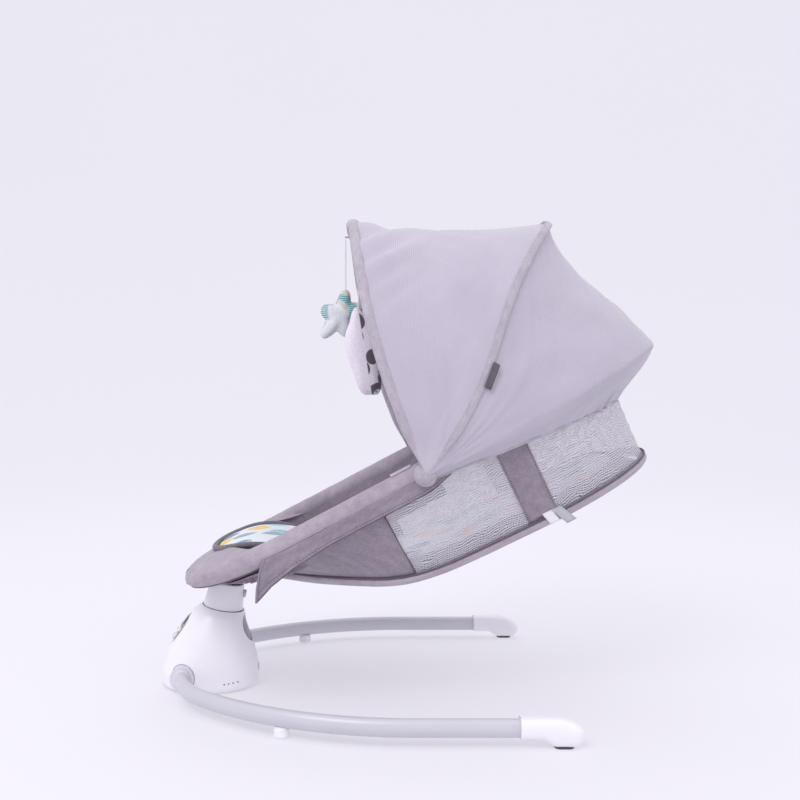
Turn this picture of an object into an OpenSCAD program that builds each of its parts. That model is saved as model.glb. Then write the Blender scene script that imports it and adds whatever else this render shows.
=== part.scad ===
// Electric baby swing: a motor tower at the foot end carries a reclining bassinet seat
// on a leaning swing axis, with a three-hoop net canopy and two hanging toys.
// Millimetres, +Z up, +X from the foot end to the head end, origin on the floor
// under the middle of the whole swing.

/* [Tower] */
// Length of the tower at the floor, along the swing
tower_l = 146; // [121:1:176]
// Width of the tower at the floor
tower_w = 128; // [106:1:154]
// Height of the turning seam at the top of the tower
tower_h = 118.4; // [98:1:143]
// Wall of the moulded housings
shell_t = 2.6; // [2:0.1:3.5]
// Gap between the tower and the floor
tower_gap = 4; // [3:0.5:6]

/* [Swing drive] */
// Lean of the swing axis towards the head end, in degrees
axis_lean = 10; // [8:0.5:12]
// Diameter of the swing shaft
shaft_d = 12; // [10:0.5:14.5]
// Radial play of the shaft in its bearings
shaft_play = 0.03; // [0.01:0.01:0.09]
// Outer diameter of each bearing
bearing_d = 26; // [21:1:32]
// Height of the neck above the seam, along the axis
neck_h = 41; // [34:1:50]
// Reach of the magnet arm from the shaft
arm_reach = 36; // [30:1:44]

/* [Base legs] */
// Distance between the centres of the two legs at their feet
leg_span = 532; // [443:1:639]
// Distance from the tower's front to the ends of the feet
base_l = 600.5; // [500:1:721]
// Height of a leg's oval tube
leg_tube_h = 25; // [20.5:0.5:30]
// Width of a leg's oval tube
leg_tube_w = 20; // [16.5:0.5:26]
// Wall of the leg tube
leg_wall = 1.5; // [1.2:0.1:2.5]
// Height of the leg's centre line above the floor
leg_z = 25; // [20.5:0.5:30]
// Length of the foot cap that shows beyond the tube
cap_l = 84; // [70:1:101]

/* [Seat frame] */
// Length of the rim ring between its tube centres
rim_l = 711; // [592:1:854]
// Width of the rim ring between its tube centres
rim_w = 364; // [303:1:437]
// Slope of the rim in its lowest recline, in degrees
rim_slope = 27.8; // [23:0.2:33.4]
// Diameter of the rim's steel tube
rim_tube_d = 16; // [13:1:20]
// Diameter of the padded sleeve on the rim
rim_pad_d = 32; // [26:1:39]
// Depth of the bassinet below the rim at the head end
seat_depth = 150; // [125:1:180]
// Width of the bottom frame between its tube centres
floor_w = 270; // [225:1:324]
// Diameter of the bottom frame's tube with its piping
floor_tube_d = 12; // [10:1:15]
// Thickness of the sewn seat fabric
fabric_t = 2; // [1.6:0.1:3]

/* [Canopy] */
// Distance of the canopy's pivot from the rim's foot end, along the rim
pivot_p = 391; // [325:1:470]
// Reach of the front hoop from its pivot
front_reach = 385; // [320:1:462]
// Reach of the middle hoop from its pivot
mid_reach = 419; // [349:1:503]
// Reach of the rear hoop from its pivot
rear_reach = 398; // [331:1:478]
// Diameter of a hoop's wire
hoop_d = 5; // [4:0.5:6]
// Gap between the rim's sleeve and the innermost hoop's legs
hoop_gap = 1.5; // [1:0.25:4]
// Angle of the front hoop from horizontal
front_angle = 105.3; // [87.5:0.5:126.5]
// Angle of the middle hoop from horizontal
mid_angle = 61.9; // [51.5:0.5:74.5]

/* [Controls] */
// Diameter of a round control button
button_d = 9; // [7:0.5:11]
// Gap round a button in its hole
button_gap = 0.4; // [0.3:0.05:0.6]
// Height of a button above the panel
button_proud = 2.4; // [2:0.1:3.5]

/* [Hidden] */
$fn = 48;

// ---- driving positions, measured from the tower's front and then centred ----
hoop_half = rim_w / 2 + rim_pad_d / 2 + hoop_gap + hoop_d / 2;
hoop_step = hoop_d + 0.5;
seam_x = 0.63 * tower_l;
rim_foot_x = seam_x + neck_h * sin(axis_lean) - 46.1;
rim_foot_z = tower_h + neck_h * cos(axis_lean) + 7.2;
pivot_x0 = rim_foot_x + pivot_p * cos(rim_slope);
pivot_z = rim_foot_z + pivot_p * sin(rim_slope) - 3;
rear_angle = rim_slope;
net_t = 1.6;
net_reach = net_t + 2;
overall_l = pivot_x0 + (rear_reach + hoop_d / 2 + net_reach) * cos(rear_angle);
ox = -overall_l / 2;

// ---- small helpers ----
function lerp(a, b, t) = a + (b - a) * t;
function clamp(v, lo, hi) = min(max(v, lo), hi);
function unit(v) = v / norm(v);
function sgnpow(v, e) = sign(v) * pow(abs(v), e);
// A table of [key, value ...] rows read between its rows.
function table_at(rows, key, col) =
    key <= rows[0][0] ? rows[0][col] :
    key >= rows[len(rows) - 1][0] ? rows[len(rows) - 1][col] :
    let (i = max([for (j = [0 : len(rows) - 2]) if (rows[j][0] <= key) j]))
    lerp(rows[i][col], rows[i + 1][col], (key - rows[i][0]) / (rows[i + 1][0] - rows[i][0]));

// Quads joining ring i to ring i + 1, each of n points, as triangles.
function skin_faces(rings, n, flip = false, first = 0) =
    [for (i = [0 : rings - 2], j = [0 : n - 1], half = [0, 1])
        let (a = first + i * n + j, b = first + i * n + (j + 1) % n,
             c = a + n, d = b + n,
             t = half == 0 ? [a, c, b] : [b, c, d])
        flip ? [t[0], t[2], t[1]] : t];

// A solid skinned through closed rings of equal length, with flat ends.
module loft(rings) {
    n = len(rings[0]);
    m = len(rings);
    points = [for (r = rings) each r];
    faces = concat(skin_faces(m, n),
        [[for (j = [0 : n - 1]) j]],
        [[for (j = [n - 1 : -1 : 0]) (m - 1) * n + j]]);
    polyhedron(points, faces, convexity = 8);
}

// Directions along a path of points.
function heading(path, i) = unit(path[min(i + 1, len(path) - 1)] - path[max(i - 1, 0)]);

// A ring round path point i, oval w across (along side) and h high.
function oval_ring(path, i, w, h, side, n) =
    let (t = heading(path, i), up = unit(cross(t, side)), s = unit(cross(up, t)))
    [for (j = [0 : n - 1])
        let (a = 360 * j / n) path[i] + s * (w / 2 * cos(a)) + up * (h / 2 * sin(a))];

// A solid oval rod along an open path. side is a direction that the path never follows.
module rod(path, w, h, side, n = 12)
    loft([for (i = [0 : len(path) - 1]) oval_ring(path, i, w, h, side, n)]);

// A hollow oval tube along an open path, open at both ends.
module pipe(path, w, h, wall, side, n = 12) {
    m = len(path);
    outer = [for (i = [0 : m - 1]) each oval_ring(path, i, w, h, side, n)];
    inner = [for (i = [0 : m - 1]) each oval_ring(path, i, w - 2 * wall, h - 2 * wall, side, n)];
    k = m * n;
    ends = [for (e = [0, m - 1], j = [0 : n - 1], half = [0, 1])
        let (a = e * n + j, b = e * n + (j + 1) % n,
             t = half == 0 ? [a, b, b + k] : [a, b + k, a + k])
        e == 0 ? t : [t[0], t[2], t[1]]];
    polyhedron(concat(outer, inner),
        concat(skin_faces(m, n), skin_faces(m, n, true, k), ends), convexity = 8);
}

// A closed hoop of tube, such as a ring that meets itself.
module ring_rod(path, d, side, n = 12) {
    m = len(path);
    function loop_heading(i) = unit(path[(i + 1) % m] - path[(i + m - 1) % m]);
    points = [for (i = [0 : m - 1])
        let (t = loop_heading(i), up = unit(cross(t, side)), s = unit(cross(up, t)))
        each [for (j = [0 : n - 1])
            let (a = 360 * j / n) path[i] + s * (d / 2 * cos(a)) + up * (d / 2 * sin(a))]];
    faces = [for (i = [0 : m - 1], j = [0 : n - 1], half = [0, 1])
        let (a = i * n + j, b = i * n + (j + 1) % n,
             c = ((i + 1) % m) * n + j, d2 = ((i + 1) % m) * n + (j + 1) % n)
        half == 0 ? [a, c, b] : [b, c, d2]];
    polyhedron(points, faces, convexity = 8);
}

// A sheet with thickness from two equal grids of points, front[row][col] and back[row][col].
module sheet_between(front, back) {
    rows = len(front);
    cols = len(front[0]);
    k = rows * cols;
    points = concat([for (r = front) each r], [for (r = back) each r]);
    function id(r, c) = r * cols + c;
    skin = [for (r = [0 : rows - 2], c = [0 : cols - 2], half = [0, 1])
        half == 0 ? [id(r, c), id(r + 1, c), id(r, c + 1)]
                  : [id(r, c + 1), id(r + 1, c), id(r + 1, c + 1)]];
    under = [for (t = skin) [t[0] + k, t[2] + k, t[1] + k]];
    edge = concat([for (c = [0 : cols - 2]) id(0, c)], [for (r = [0 : rows - 2]) id(r, cols - 1)],
        [for (c = [cols - 1 : -1 : 1]) id(rows - 1, c)], [for (r = [rows - 1 : -1 : 1]) id(r, 0)]);
    m = len(edge);
    rim = [for (i = [0 : m - 1], half = [0, 1])
        let (a = edge[i], b = edge[(i + 1) % m])
        half == 0 ? [a, b, b + k] : [a, b + k, a + k]];
    polyhedron(points, concat(skin, under, rim), convexity = 10);
}

module both_sides() {
    children();
    mirror([0, 1, 0]) children();
}

// ---- tower ----
neck_r0 = 31.4;
// Share of the height, front share, rear share of the length, width share, tilt share
TOWER = [
    [0.000, 0.014, 0.993, 0.970, 0.00],
    [0.035, 0.000, 1.000, 1.000, 0.00],
    [0.180, 0.000, 1.000, 1.000, 0.00],
    [0.280, 0.025, 0.993, 0.977, 0.00],
    [0.463, 0.072, 0.952, 0.898, 0.05],
    [0.620, 0.130, 0.914, 0.812, 0.15],
    [0.716, 0.178, 0.897, 0.750, 0.30],
    [0.822, 0.247, 0.873, 0.672, 0.50],
    [0.910, 0.310, 0.858, 0.600, 0.75],
    [1.000, (seam_x - neck_r0) / tower_l, (seam_x + neck_r0) / tower_l, 2 * neck_r0 / tower_w, 1.00]
];
tower_sides = 44;

function tower_ring(row, inset, dz = 0) =
    let (z = tower_gap + row[0] * (tower_h - tower_gap) + dz,
         x0 = row[1] * tower_l + inset, x1 = row[2] * tower_l - inset,
         a = (x1 - x0) / 2, b = row[3] * tower_w / 2 - inset, c = (x0 + x1) / 2,
         tilt = row[4] * axis_lean)
    [for (j = [0 : tower_sides - 1])
        let (t = 360 * j / tower_sides, u = a * cos(t))
        [ox + c + u * cos(tilt), b * sin(t), z - u * sin(tilt)]];

module tower_solid(inset = 0, open = false) {
    last = len(TOWER) - 1;
    body = [for (r = TOWER) tower_ring(r, inset)];
    rings = open
        ? concat([tower_ring(TOWER[0], inset, -5)], body, [tower_ring(TOWER[last], inset, 5)])
        : body;
    loft([for (r = rings) r]);
}

function tower_at(share_l, share_h) =
    [ox + share_l * tower_l, 0, tower_gap + share_h * (tower_h - tower_gap)];
split_x = tower_at(0.678, 0)[0];
split_z = tower_at(0, 0.787)[2];

module front_region() {
    translate([ox - 50, -200, -10]) cube([split_x - ox + 50, 400, split_z + 10]);
}

panel_mid = tower_at(0.212, 0.725);
panel_tilt = 54;
panel_l = 66;
panel_w = 54;

// Places children on the control panel's plane, +Z out of the panel and +Y up the panel.
module on_panel(across = 0, up = 0, out = 0)
    translate(panel_mid) rotate([0, -panel_tilt, 0]) rotate([0, 0, -90])
        translate([across, up, out]) children();

function ellipse(a, b, n = 40) = [for (j = [0 : n - 1]) [a * cos(360 * j / n), b * sin(360 * j / n)]];
module panel_outline(grow = 0)
    on_panel(0, 0, -14) linear_extrude(40) polygon(ellipse(panel_w / 2 + grow, panel_l / 2 + grow));

rear_panel_mid = tower_at(0.863, 0.717);
module rear_outline(grow = 0)
    translate(rear_panel_mid) rotate([0, 78, 0]) translate([0, 0, -12]) linear_extrude(30)
        polygon(ellipse(22 + grow, 20 + grow));

socket_x = ox + 40;
socket_d = leg_tube_h + 12;
vent_d = 2;

module tower_shell() {
    difference() {
        tower_solid();
        tower_solid(shell_t, true);
        panel_outline(0.3);
        rear_outline(0.3);
        for (s = [-1, 1])
            translate([socket_x, s * (tower_w / 2 - 34), leg_z]) rotate([-90 * s, 0, 0])
                cylinder(d = socket_d + 0.6, h = 60);
        for (i = [0 : 3])
            translate([tower_at(0.705, 0)[0] + 6.4 * i, 0, 15 + 0.3 * i]) rotate([90, 0, 0])
                cylinder(d = vent_d, h = tower_w, $fn = 24);
        translate([ox + tower_l - 12, 0, jack_z]) rotate([0, 90, 0])
            cylinder(d = jack_d + 0.4, h = 30);
    }
}

jack_d = 11;
jack_z = 26;

module front_housing() color("white") intersection() {
    tower_shell();
    front_region();
}

module rear_housing() color("white") difference() {
    tower_shell();
    front_region();
}

plate_t = 4;
module base_plate() color("whitesmoke") difference() {
    intersection() {
        tower_solid(shell_t + 0.3);
        translate([ox - 20, -200, tower_gap]) cube([300, 400, plate_t]);
    }
    translate([battery_x - 2, -battery_w / 2 - 2, 0]) cube([battery_l + 4, battery_w + 4, 30]);
    for (p = screw_places) translate([p[0], p[1], 0]) {
        cylinder(d = 3.4, h = 30);
        translate([0, 0, tower_gap - 2]) cylinder(d = 6.6, h = 3.5);
    }
    for (s = [-1, 1]) translate([socket_x, s * (tower_w / 2 - 34), leg_z]) rotate([-90 * s, 0, 0])
        cylinder(d = socket_d + 0.6, h = 60);
}

battery_x = ox + tower_l - 49;
battery_l = 32;
battery_w = 56;
module battery_cover() color("gainsboro")
    translate([battery_x - 1.7, -battery_w / 2 - 1.7, tower_gap])
        cube([battery_l + 3.4, battery_w + 3.4, 2]);

module control_panel() color("dimgray") difference() {
    intersection() {
        tower_solid(-1.2);
        panel_outline();
    }
    tower_solid(shell_t, true);
    for (b = buttons) on_panel(b[0], b[1], -14)
        cylinder(d = button_d + 2 * button_gap, h = 40);
    on_panel(0, 13, -14) translate([-15.3, -6.3, 0]) cube([30.6, 12.6, 40]);
}

module rear_panel() color("dimgray") difference() {
    intersection() {
        tower_solid(-0.8);
        rear_outline();
    }
    tower_solid(shell_t, true);
}

module display_lens() color("black") difference() {
    intersection() {
        tower_solid(-2);
        on_panel(0, 13, -14) translate([-15, -6, 0]) cube([30, 12, 40]);
    }
    tower_solid(1, true);
}

// Each button's place on the panel: across, up
buttons = [[0, -21], [-15, -2], [15, -2], [-11, -13], [11, -13]];
panel_out = 4.5;
module panel_button(i) color("white") intersection() {
    on_panel(buttons[i][0], buttons[i][1], -16) cylinder(d = button_d, h = 50);
    difference() {
        tower_solid(-1.2 - button_proud);
        tower_solid(panel_out, true);
    }
}

// ---- swing drive, in a frame that leans with the swing axis ----
module on_axis(z = 0) translate([ox + seam_x, 0, tower_h]) rotate([0, axis_lean, 0])
    translate([0, 0, z]) children();

floor_z = tower_gap + plate_t;
bearing_h = 12;
bearing_z = [-22, -66];
seat_r = bearing_d / 2;
frame_wall = 4;
disc_z = -72;

module bearing_frame() color("silver") difference() {
    union() {
        on_axis(disc_z) cylinder(r = seat_r + frame_wall, h = -disc_z - 8);
        on_axis(disc_z) cylinder(r = 38, h = 5);
        for (a = [72, 108, 252, 288])
            translate([ox + seam_x + disc_z * sin(axis_lean) + 32 * cos(a), 32 * sin(a), floor_z])
                cylinder(d = 10, h = tower_h + disc_z * cos(axis_lean)
                    - 32 * cos(a) * sin(axis_lean) + 4 - floor_z);
    }
    on_axis(disc_z - 1) cylinder(r = shaft_d / 2 + 2, h = -disc_z);
    on_axis(bearing_z[0]) cylinder(r = seat_r, h = 40);
    on_axis(disc_z - 20) cylinder(r = seat_r, h = bearing_z[1] + bearing_h - disc_z + 20);
}

module bearing(i) color("lightgray") on_axis(bearing_z[i]) difference() {
    cylinder(r = seat_r, h = bearing_h);
    translate([0, 0, -1]) cylinder(r = shaft_d / 2 + shaft_play, h = bearing_h + 2);
}

shaft_low = -84;
module swing_shaft() color("silver") {
    on_axis(shaft_low) cylinder(d = shaft_d, h = neck_h - 12 - shaft_low);
}

module magnet_arm() color("dimgray") on_axis(shaft_low + 1) difference() {
    union() {
        cylinder(d = shaft_d + 10, h = 7);
        translate([-arm_reach, -5, 0]) cube([arm_reach, 10, 4]);
        translate([-arm_reach, 0, 0]) cylinder(d = 16, h = 4);
    }
    translate([0, 0, -1]) cylinder(d = shaft_d, h = 10);
}

module drive_magnet() color("darkgray") on_axis(shaft_low + 1)
    translate([-arm_reach, 0, -5]) cylinder(d = 14, h = 5);

coil_x = ox + seam_x + shaft_low * sin(axis_lean) - arm_reach;
coil_top = tower_h + (shaft_low - 4) * cos(axis_lean) + (arm_reach - 8) * sin(axis_lean) - 7;
module drive_coil() color("peru") translate([coil_x - 1, 0, floor_z]) difference() {
    cylinder(d = 26, h = coil_top - floor_z);
    translate([0, 0, -1]) cylinder(d = 8, h = coil_top);
}

module circuit_board() color("seagreen") on_panel(0, -1, -9.5) translate([-16, -20, 0])
    cube([32, 40, 1.6]);

module speaker() color("black") translate([ox + tower_l / 2 + 27, tower_w / 2 - 22, tower_gap + plate_t]) {
    cylinder(d = 18, h = 4);
    translate([0, 0, 4]) cylinder(d = 12, h = 5);
}

module battery_tray() color("dimgray") translate([battery_x, -battery_w / 2, tower_gap + 2.2])
    difference() {
        cube([battery_l, battery_w, 33]);
        translate([1.5, 1.5, -1]) cube([battery_l - 3, battery_w - 3, 32.5]);
    }

cell_d = 14.2;
module battery_cells() color("goldenrod")
    for (i = [0, 1], j = [0, 1])
        translate([battery_x + 1.7 + cell_d / 2 + i * (cell_d + 0.2), 25.2,
                   tower_gap + 2.5 + cell_d / 2 + j * (cell_d + 0.3)])
            rotate([90, 0, 0]) cylinder(d = cell_d, h = 50.4);

module power_jack() color("black") translate([ox + tower_l - 4.4, 0, jack_z]) rotate([0, 90, 0])
    difference() {
        union() {
            translate([0, 0, -1.6]) cylinder(d = jack_d + 3, h = 1.6);
            translate([0, 0, -4]) cylinder(d = jack_d, h = 8.2);
        }
        cylinder(r = jack_hole_r, h = 10);
    }
jack_hole_r = 2.8;

// ---- base legs ----
arc_r = 441;
turn_r = 139;
turn_a = 42;
leg_y = leg_span / 2;
// Heading angle a runs from 0, along the swing, to 90, straight out of the tower.
leg_arc_end = [ox + 381, leg_y];
function wide_arc(a) = leg_arc_end + [-arc_r * sin(a), -arc_r * (1 - cos(a))];
turn_mid = wide_arc(turn_a) - turn_r * [-sin(turn_a), cos(turn_a)];
function tight_arc(a) = turn_mid + turn_r * [-sin(a), cos(a)];
leg_start_y = tower_w / 2 - 15;
leg_plan = concat(
    [[tight_arc(90)[0], leg_start_y]],
    [for (a = [84 : -6 : turn_a + 1]) if (tight_arc(a)[1] > leg_start_y + 4) tight_arc(a)],
    [for (a = [turn_a : -6 : 0]) wide_arc(a)],
    [[ox + base_l - cap_l - 40, leg_y], [ox + base_l - cap_l + 12, leg_y]]);
leg_path = [for (p = leg_plan) [p[0], p[1], leg_z]];

module leg_tube() color("silver")
    pipe(leg_path, leg_tube_h, leg_tube_w, leg_wall, [0, 0, 1], 16);

module leg_sockets() color("gainsboro") both_sides()
    translate([socket_x, tower_w / 2 - 20, leg_z]) rotate([-90, 0, 0]) difference() {
        cylinder(d = socket_d, h = 22);
        translate([0, 0, -1]) linear_extrude(40)
            polygon(ellipse(leg_tube_w / 2 + 1.2, leg_tube_h / 2 + 0.5));
    }

peg_x = ox + 205.6;
peg_d = 22;
function peg_y() = let (s = (leg_arc_end[0] - peg_x) / arc_r) leg_y - arc_r * (1 - sqrt(1 - s * s));
module support_pegs() color("white") both_sides()
    translate([peg_x, peg_y(), 0]) {
        cylinder(d1 = peg_d - 3, d2 = peg_d, h = 2);
        translate([0, 0, 2]) cylinder(d = peg_d - 1, h = leg_z - leg_tube_h / 2 - 2);
    }

cap_grow = 2.4;
pad_h = 2;
cap_w = leg_tube_w + 2 * cap_grow + 3;
// Side outline of a foot cap: x from the joint with the tube, z from the floor.
cap_side = let (top = leg_z + leg_tube_h / 2 + cap_grow, low = leg_z - leg_tube_h / 2 - 1) concat(
    [[0, low], [0, top], [30, top]],
    [for (a = [80 : -10 : -40])
        [cap_l - 48 + 48 * cos(a), top - (top - pad_h) * (1 - sin(a)) / (1 + sin(40))]],
    [[cap_l - 17, pad_h], [cap_l - 37, pad_h]],
    [for (t = [1 : 5]) [cap_l - 37 - 17 * t / 5, pad_h + (low - pad_h) * (1 - cos(36 * t)) / 2]]);

module foot_cap() color("white") translate([ox + base_l - cap_l, leg_y, 0]) difference() {
    intersection() {
        rotate([90, 0, 0]) linear_extrude(cap_w, center = true) polygon(cap_side);
        linear_extrude(80) hull() {
            translate([0, -cap_w / 2 + 1.5]) square([1, cap_w - 3]);
            translate([cap_l - cap_w / 2, 0]) circle(d = cap_w);
        }
    }
    translate([-1, 0, leg_z]) rotate([90, 0, 90]) linear_extrude(14)
        polygon(ellipse(leg_tube_w / 2 + 0.3, leg_tube_h / 2 + 0.3));
}

module foot_pads() color("gray") both_sides()
    translate([ox + base_l - 27, leg_y, 0]) linear_extrude(pad_h)
        hull() for (s = [-1, 1]) translate([s * 5, 0]) circle(d = 15);

tower_pad_places = [for (a = [-1, 1], b = [-1, 1]) 
    [ox + tower_l / 2 + 0.27 * tower_l * a, 0.3 * tower_w * b]];
module tower_pads() color("gray") for (p = tower_pad_places)
    translate([p[0], p[1], 0]) cylinder(d = 12, h = tower_gap);

screw_places = [for (b = [-1, 1]) each
    [[ox + 24, 22 * b], [ox + tower_l / 2, (tower_w / 2 - 11) * b]]];
module housing_screws() color("silver") for (p = screw_places)
    translate([p[0], p[1], tower_gap]) {
        cylinder(d = 6, h = 1.4);
        cylinder(d = 3, h = 9);
    }

// ---- swing head ----
neck_r1 = 27;
neck_gap = 1.2;
neck_wall = 3;
yoke_z = neck_h - 13;
module neck_shell() color("white") on_axis(neck_gap) difference() {
    cylinder(r1 = neck_r0, r2 = neck_r1, h = neck_h - neck_gap);
    translate([0, 0, -0.01]) cylinder(r1 = neck_r0 - neck_wall, r2 = neck_r1 - neck_wall,
        h = neck_h - neck_gap + 1);
    translate([0, 0, neck_h - 14 - neck_gap]) rotate([0, 90, 0]) cylinder(d = release_d + 0.8, h = 60);
    translate([-60, -14, neck_h - 13]) cube([50, 28, 30]);
}

pin_d = 8;
pin_z = neck_h + 2;
cheek_t = 4;
cheek_y = 15;
module seat_yoke() color("gray") on_axis() difference() {
    union() {
        translate([0, 0, yoke_z - 14]) cylinder(r = neck_r1 - neck_wall + 0.3, h = 7);
        cylinder(d = shaft_d + 10, h = yoke_z - 7);
        for (s = [-1, 1]) translate([-9, s * cheek_y - cheek_t / 2, yoke_z - 14])
            cube([18, cheek_t, pin_z - yoke_z + 14 + 7]);
    }
    translate([0, 0, -1]) cylinder(d = shaft_d, h = yoke_z + 1.01);
    translate([0, 30, pin_z]) rotate([90, 0, 0]) cylinder(d = pin_d, h = 60);
}

module recline_pin() color("silver") on_axis() translate([0, (cheek_y + cheek_t), pin_z])
    rotate([90, 0, 0]) cylinder(d = pin_d, h = 2 * (cheek_y + cheek_t));

release_d = 12;
module recline_button() color("lightgray") on_axis(neck_h - 14) rotate([0, 90, 0])
    translate([0, 0, neck_r1 - 4]) cylinder(d = release_d, h = 9);

// ---- seat frame: p along the rim from its foot end, q across, h below the rim's plane ----
foot_lift = 8;
lift_l = 190;
foot_point = [ox + rim_foot_x, 0, rim_foot_z];
along = [cos(rim_slope), 0, sin(rim_slope)];
across = [0, 1, 0];
below = [sin(rim_slope), 0, -cos(rim_slope)];
function lift(p) = p < lift_l ? foot_lift * pow(1 - p / lift_l, 2) : 0;
function place(p, q, h) = foot_point + p * along + q * across + (h - lift(p)) * below;

// An oval plan: t runs 0 to 360 from the head end round by +q. The sides are straight between
// side_p[0] and side_p[1]; 72 to 108 degrees is the straight of a side.
side_p = [0.281, 0.754] * rim_l;
round_e = 2 / 2.25;
function plan(t, foot, head, w) =
    let (m = ((t % 360) + 360) % 360, s = m <= 180 ? 1 : -1, u = m <= 180 ? m : 360 - m)
    u < 72 ? let (a = 90 * u / 72)
        [side_p[1] + (head - side_p[1]) * sgnpow(cos(a), round_e), s * w / 2 * sgnpow(sin(a), round_e)] :
    u <= 108 ? [lerp(side_p[1], side_p[0], (u - 72) / 36), s * w / 2] :
    let (a = 90 * (180 - u) / 72)
        [side_p[0] - (side_p[0] - foot) * sgnpow(cos(a), round_e), s * w / 2 * sgnpow(sin(a), round_e)];

rim_steps = 60;
function rim_plan(t, inset = 0) = plan(t, inset, rim_l - inset, rim_w - 2 * inset);
function rim_angle(i) = 360 * i / rim_steps;
function rim_point(t, inset = 0, h = 0) =
    let (p = rim_plan(t, inset)) place(p[0], p[1], h);

module rim_tube() color("silver")
    ring_rod([for (i = [0 : rim_steps - 1]) rim_point(rim_angle(i))], rim_tube_d, below, 12);

// The sleeve leaves the tube bare where the bracket holds it, at the foot end.
sleeve_open = 12;
sleeve_angles = [for (a = [180 + sleeve_open : 360 / rim_steps : 540 - sleeve_open]) a];
module rim_sleeve() color("rosybrown")
    pipe([for (t = sleeve_angles) rim_point(t)], rim_pad_d, rim_pad_d,
        (rim_pad_d - rim_tube_d) / 2 - 0.6, below, 14);

// Depth of the bassinet along the rim, as a share of the rim's length and of the full depth.
DEPTH = [[0, 0.08], [0.104, 0.093], [0.176, 0.207], [0.294, 0.573], [0.398, 0.853], [0.482, 0.94],
    [0.563, 0.967], [0.745, 1], [1, 1]];
function depth_at(p) = table_at(DEPTH, p / rim_l, 1) * seat_depth;
floor_foot = 0.104 * rim_l;
floor_head = rim_l - 7;
function floor_plan(t, inset = 0) =
    plan(t, floor_foot + inset, floor_head - inset, floor_w - 2 * inset);
function floor_point(t, inset = 0, h = 0) =
    let (p = floor_plan(t, inset)) place(p[0], p[1], depth_at(p[0]) + h);

module bottom_frame() color("rosybrown")
    ring_rod([for (i = [0 : rim_steps - 1]) floor_point(rim_angle(i))], floor_tube_d, below, 10);

// The bassinet wall between the rim and the bottom frame, for angles from t0 to t1. At the
// foot end it leaves the rim from its inner side, over the bracket, and elsewhere from below.
wall_r = rim_pad_d / 2 + 2;
function wall_turn(t) = let (f = clamp(1.6 - abs(t - 180) / 30, 0, 1)) 90 * f * f * (3 - 2 * f);
function wall_point(t, v, grow) =
    let (a = wall_turn(t), g = [cos(a), -sin(a)] * grow)
    lerp(rim_point(t, wall_r * sin(a) + g[0], wall_r * cos(a) + g[1]),
         floor_point(t, g[0] - 1, -floor_tube_d / 2 - 1.5 + g[1]), v);
module wall_sheet(t0, t1, thick = fabric_t) {
    step = 360 / rim_steps;
    ts = concat([t0], [for (t = [step * ceil(t0 / step + 0.01) : step : t1 - 1]) t], [t1]);
    sheet_between([for (t = ts) [for (v = [0 : 0.25 : 1]) wall_point(t, v, 0)]],
        [for (t = ts) [for (v = [0 : 0.25 : 1]) wall_point(t, v, thick)]]);
}

// Where the mesh starts, on the straight of each side.
mesh_t = 96;
module seat_sling() color("gray") {
    wall_sheet(mesh_t, 360 - mesh_t);
    sling_floor();
}

// The sling's fabric floor, from the foot end to the bottom board.
board_p = 0.422 * rim_l;
function sling_half(p) = floor_half(p, floor_tube_d / 2 + 2.8);
module sling_floor() {
    ps = [for (p = [floor_foot + 12 : 12 : board_p - 2]) p];
    top = [for (p = ps) [for (v = [-1 : 0.5 : 1])
        place(p, sling_half(p) * v, depth_at(p) - fabric_t / 2)]];
    low = [for (p = ps) [for (v = [-1 : 0.5 : 1])
        place(p, sling_half(p) * v, depth_at(p) + fabric_t / 2)]];
    sheet_between(low, top);
}
// Half width at p of the floor's plan, drawn in by inset.
function floor_half(p, inset) =
    let (n = 2 / round_e, c = p < side_p[0] ? (side_p[0] - p) / (side_p[0] - floor_foot - inset) :
         p > side_p[1] ? (p - side_p[1]) / (floor_head - side_p[1] - inset) : 0)
    (floor_w / 2 - inset) * pow(max(0, 1 - pow(min(1, c), n)), 1 / n);

module side_mesh() color("whitesmoke") wall_sheet(-mesh_t + 0.2, mesh_t - 0.2);

board_t = 5;
function board_half(p) = max(4, floor_half(p, floor_tube_d / 2 + 3));
module bottom_board() color("gray") {
    ps = [for (p = [board_p : 17 : floor_head - 14]) p];
    top = [for (p = ps) [for (v = [-1, 0, 1])
        place(p, board_half(p) * v, depth_at(p) - board_t / 2)]];
    low = [for (p = ps) [for (v = [-1, 0, 1])
        place(p, board_half(p) * v, depth_at(p) + board_t / 2)]];
    sheet_between(low, top);
}

// A fabric strap down each side wall, outside the mesh.
strap_p = [side_p[1] - 46, side_p[1] - 2];
function side_at(p, v, out) = lerp(place(p, rim_w / 2 + out, wall_r),
    place(p, floor_w / 2 + 1 + out, depth_at(p) - floor_tube_d / 2 - 1.5), v);
module wall_straps() color("gray") both_sides() {
    sheet_between(
        [for (p = strap_p) [for (v = [0 : 0.25 : 1]) side_at(p, v, 2.2)]],
        [for (p = strap_p) [for (v = [0 : 0.25 : 1]) side_at(p, v, 0.3)]]);
}

// The padded liner: a long cushion from the foot end to the head.
pad_t = 18;
pad_p = [62, rim_l - 49];
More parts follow.
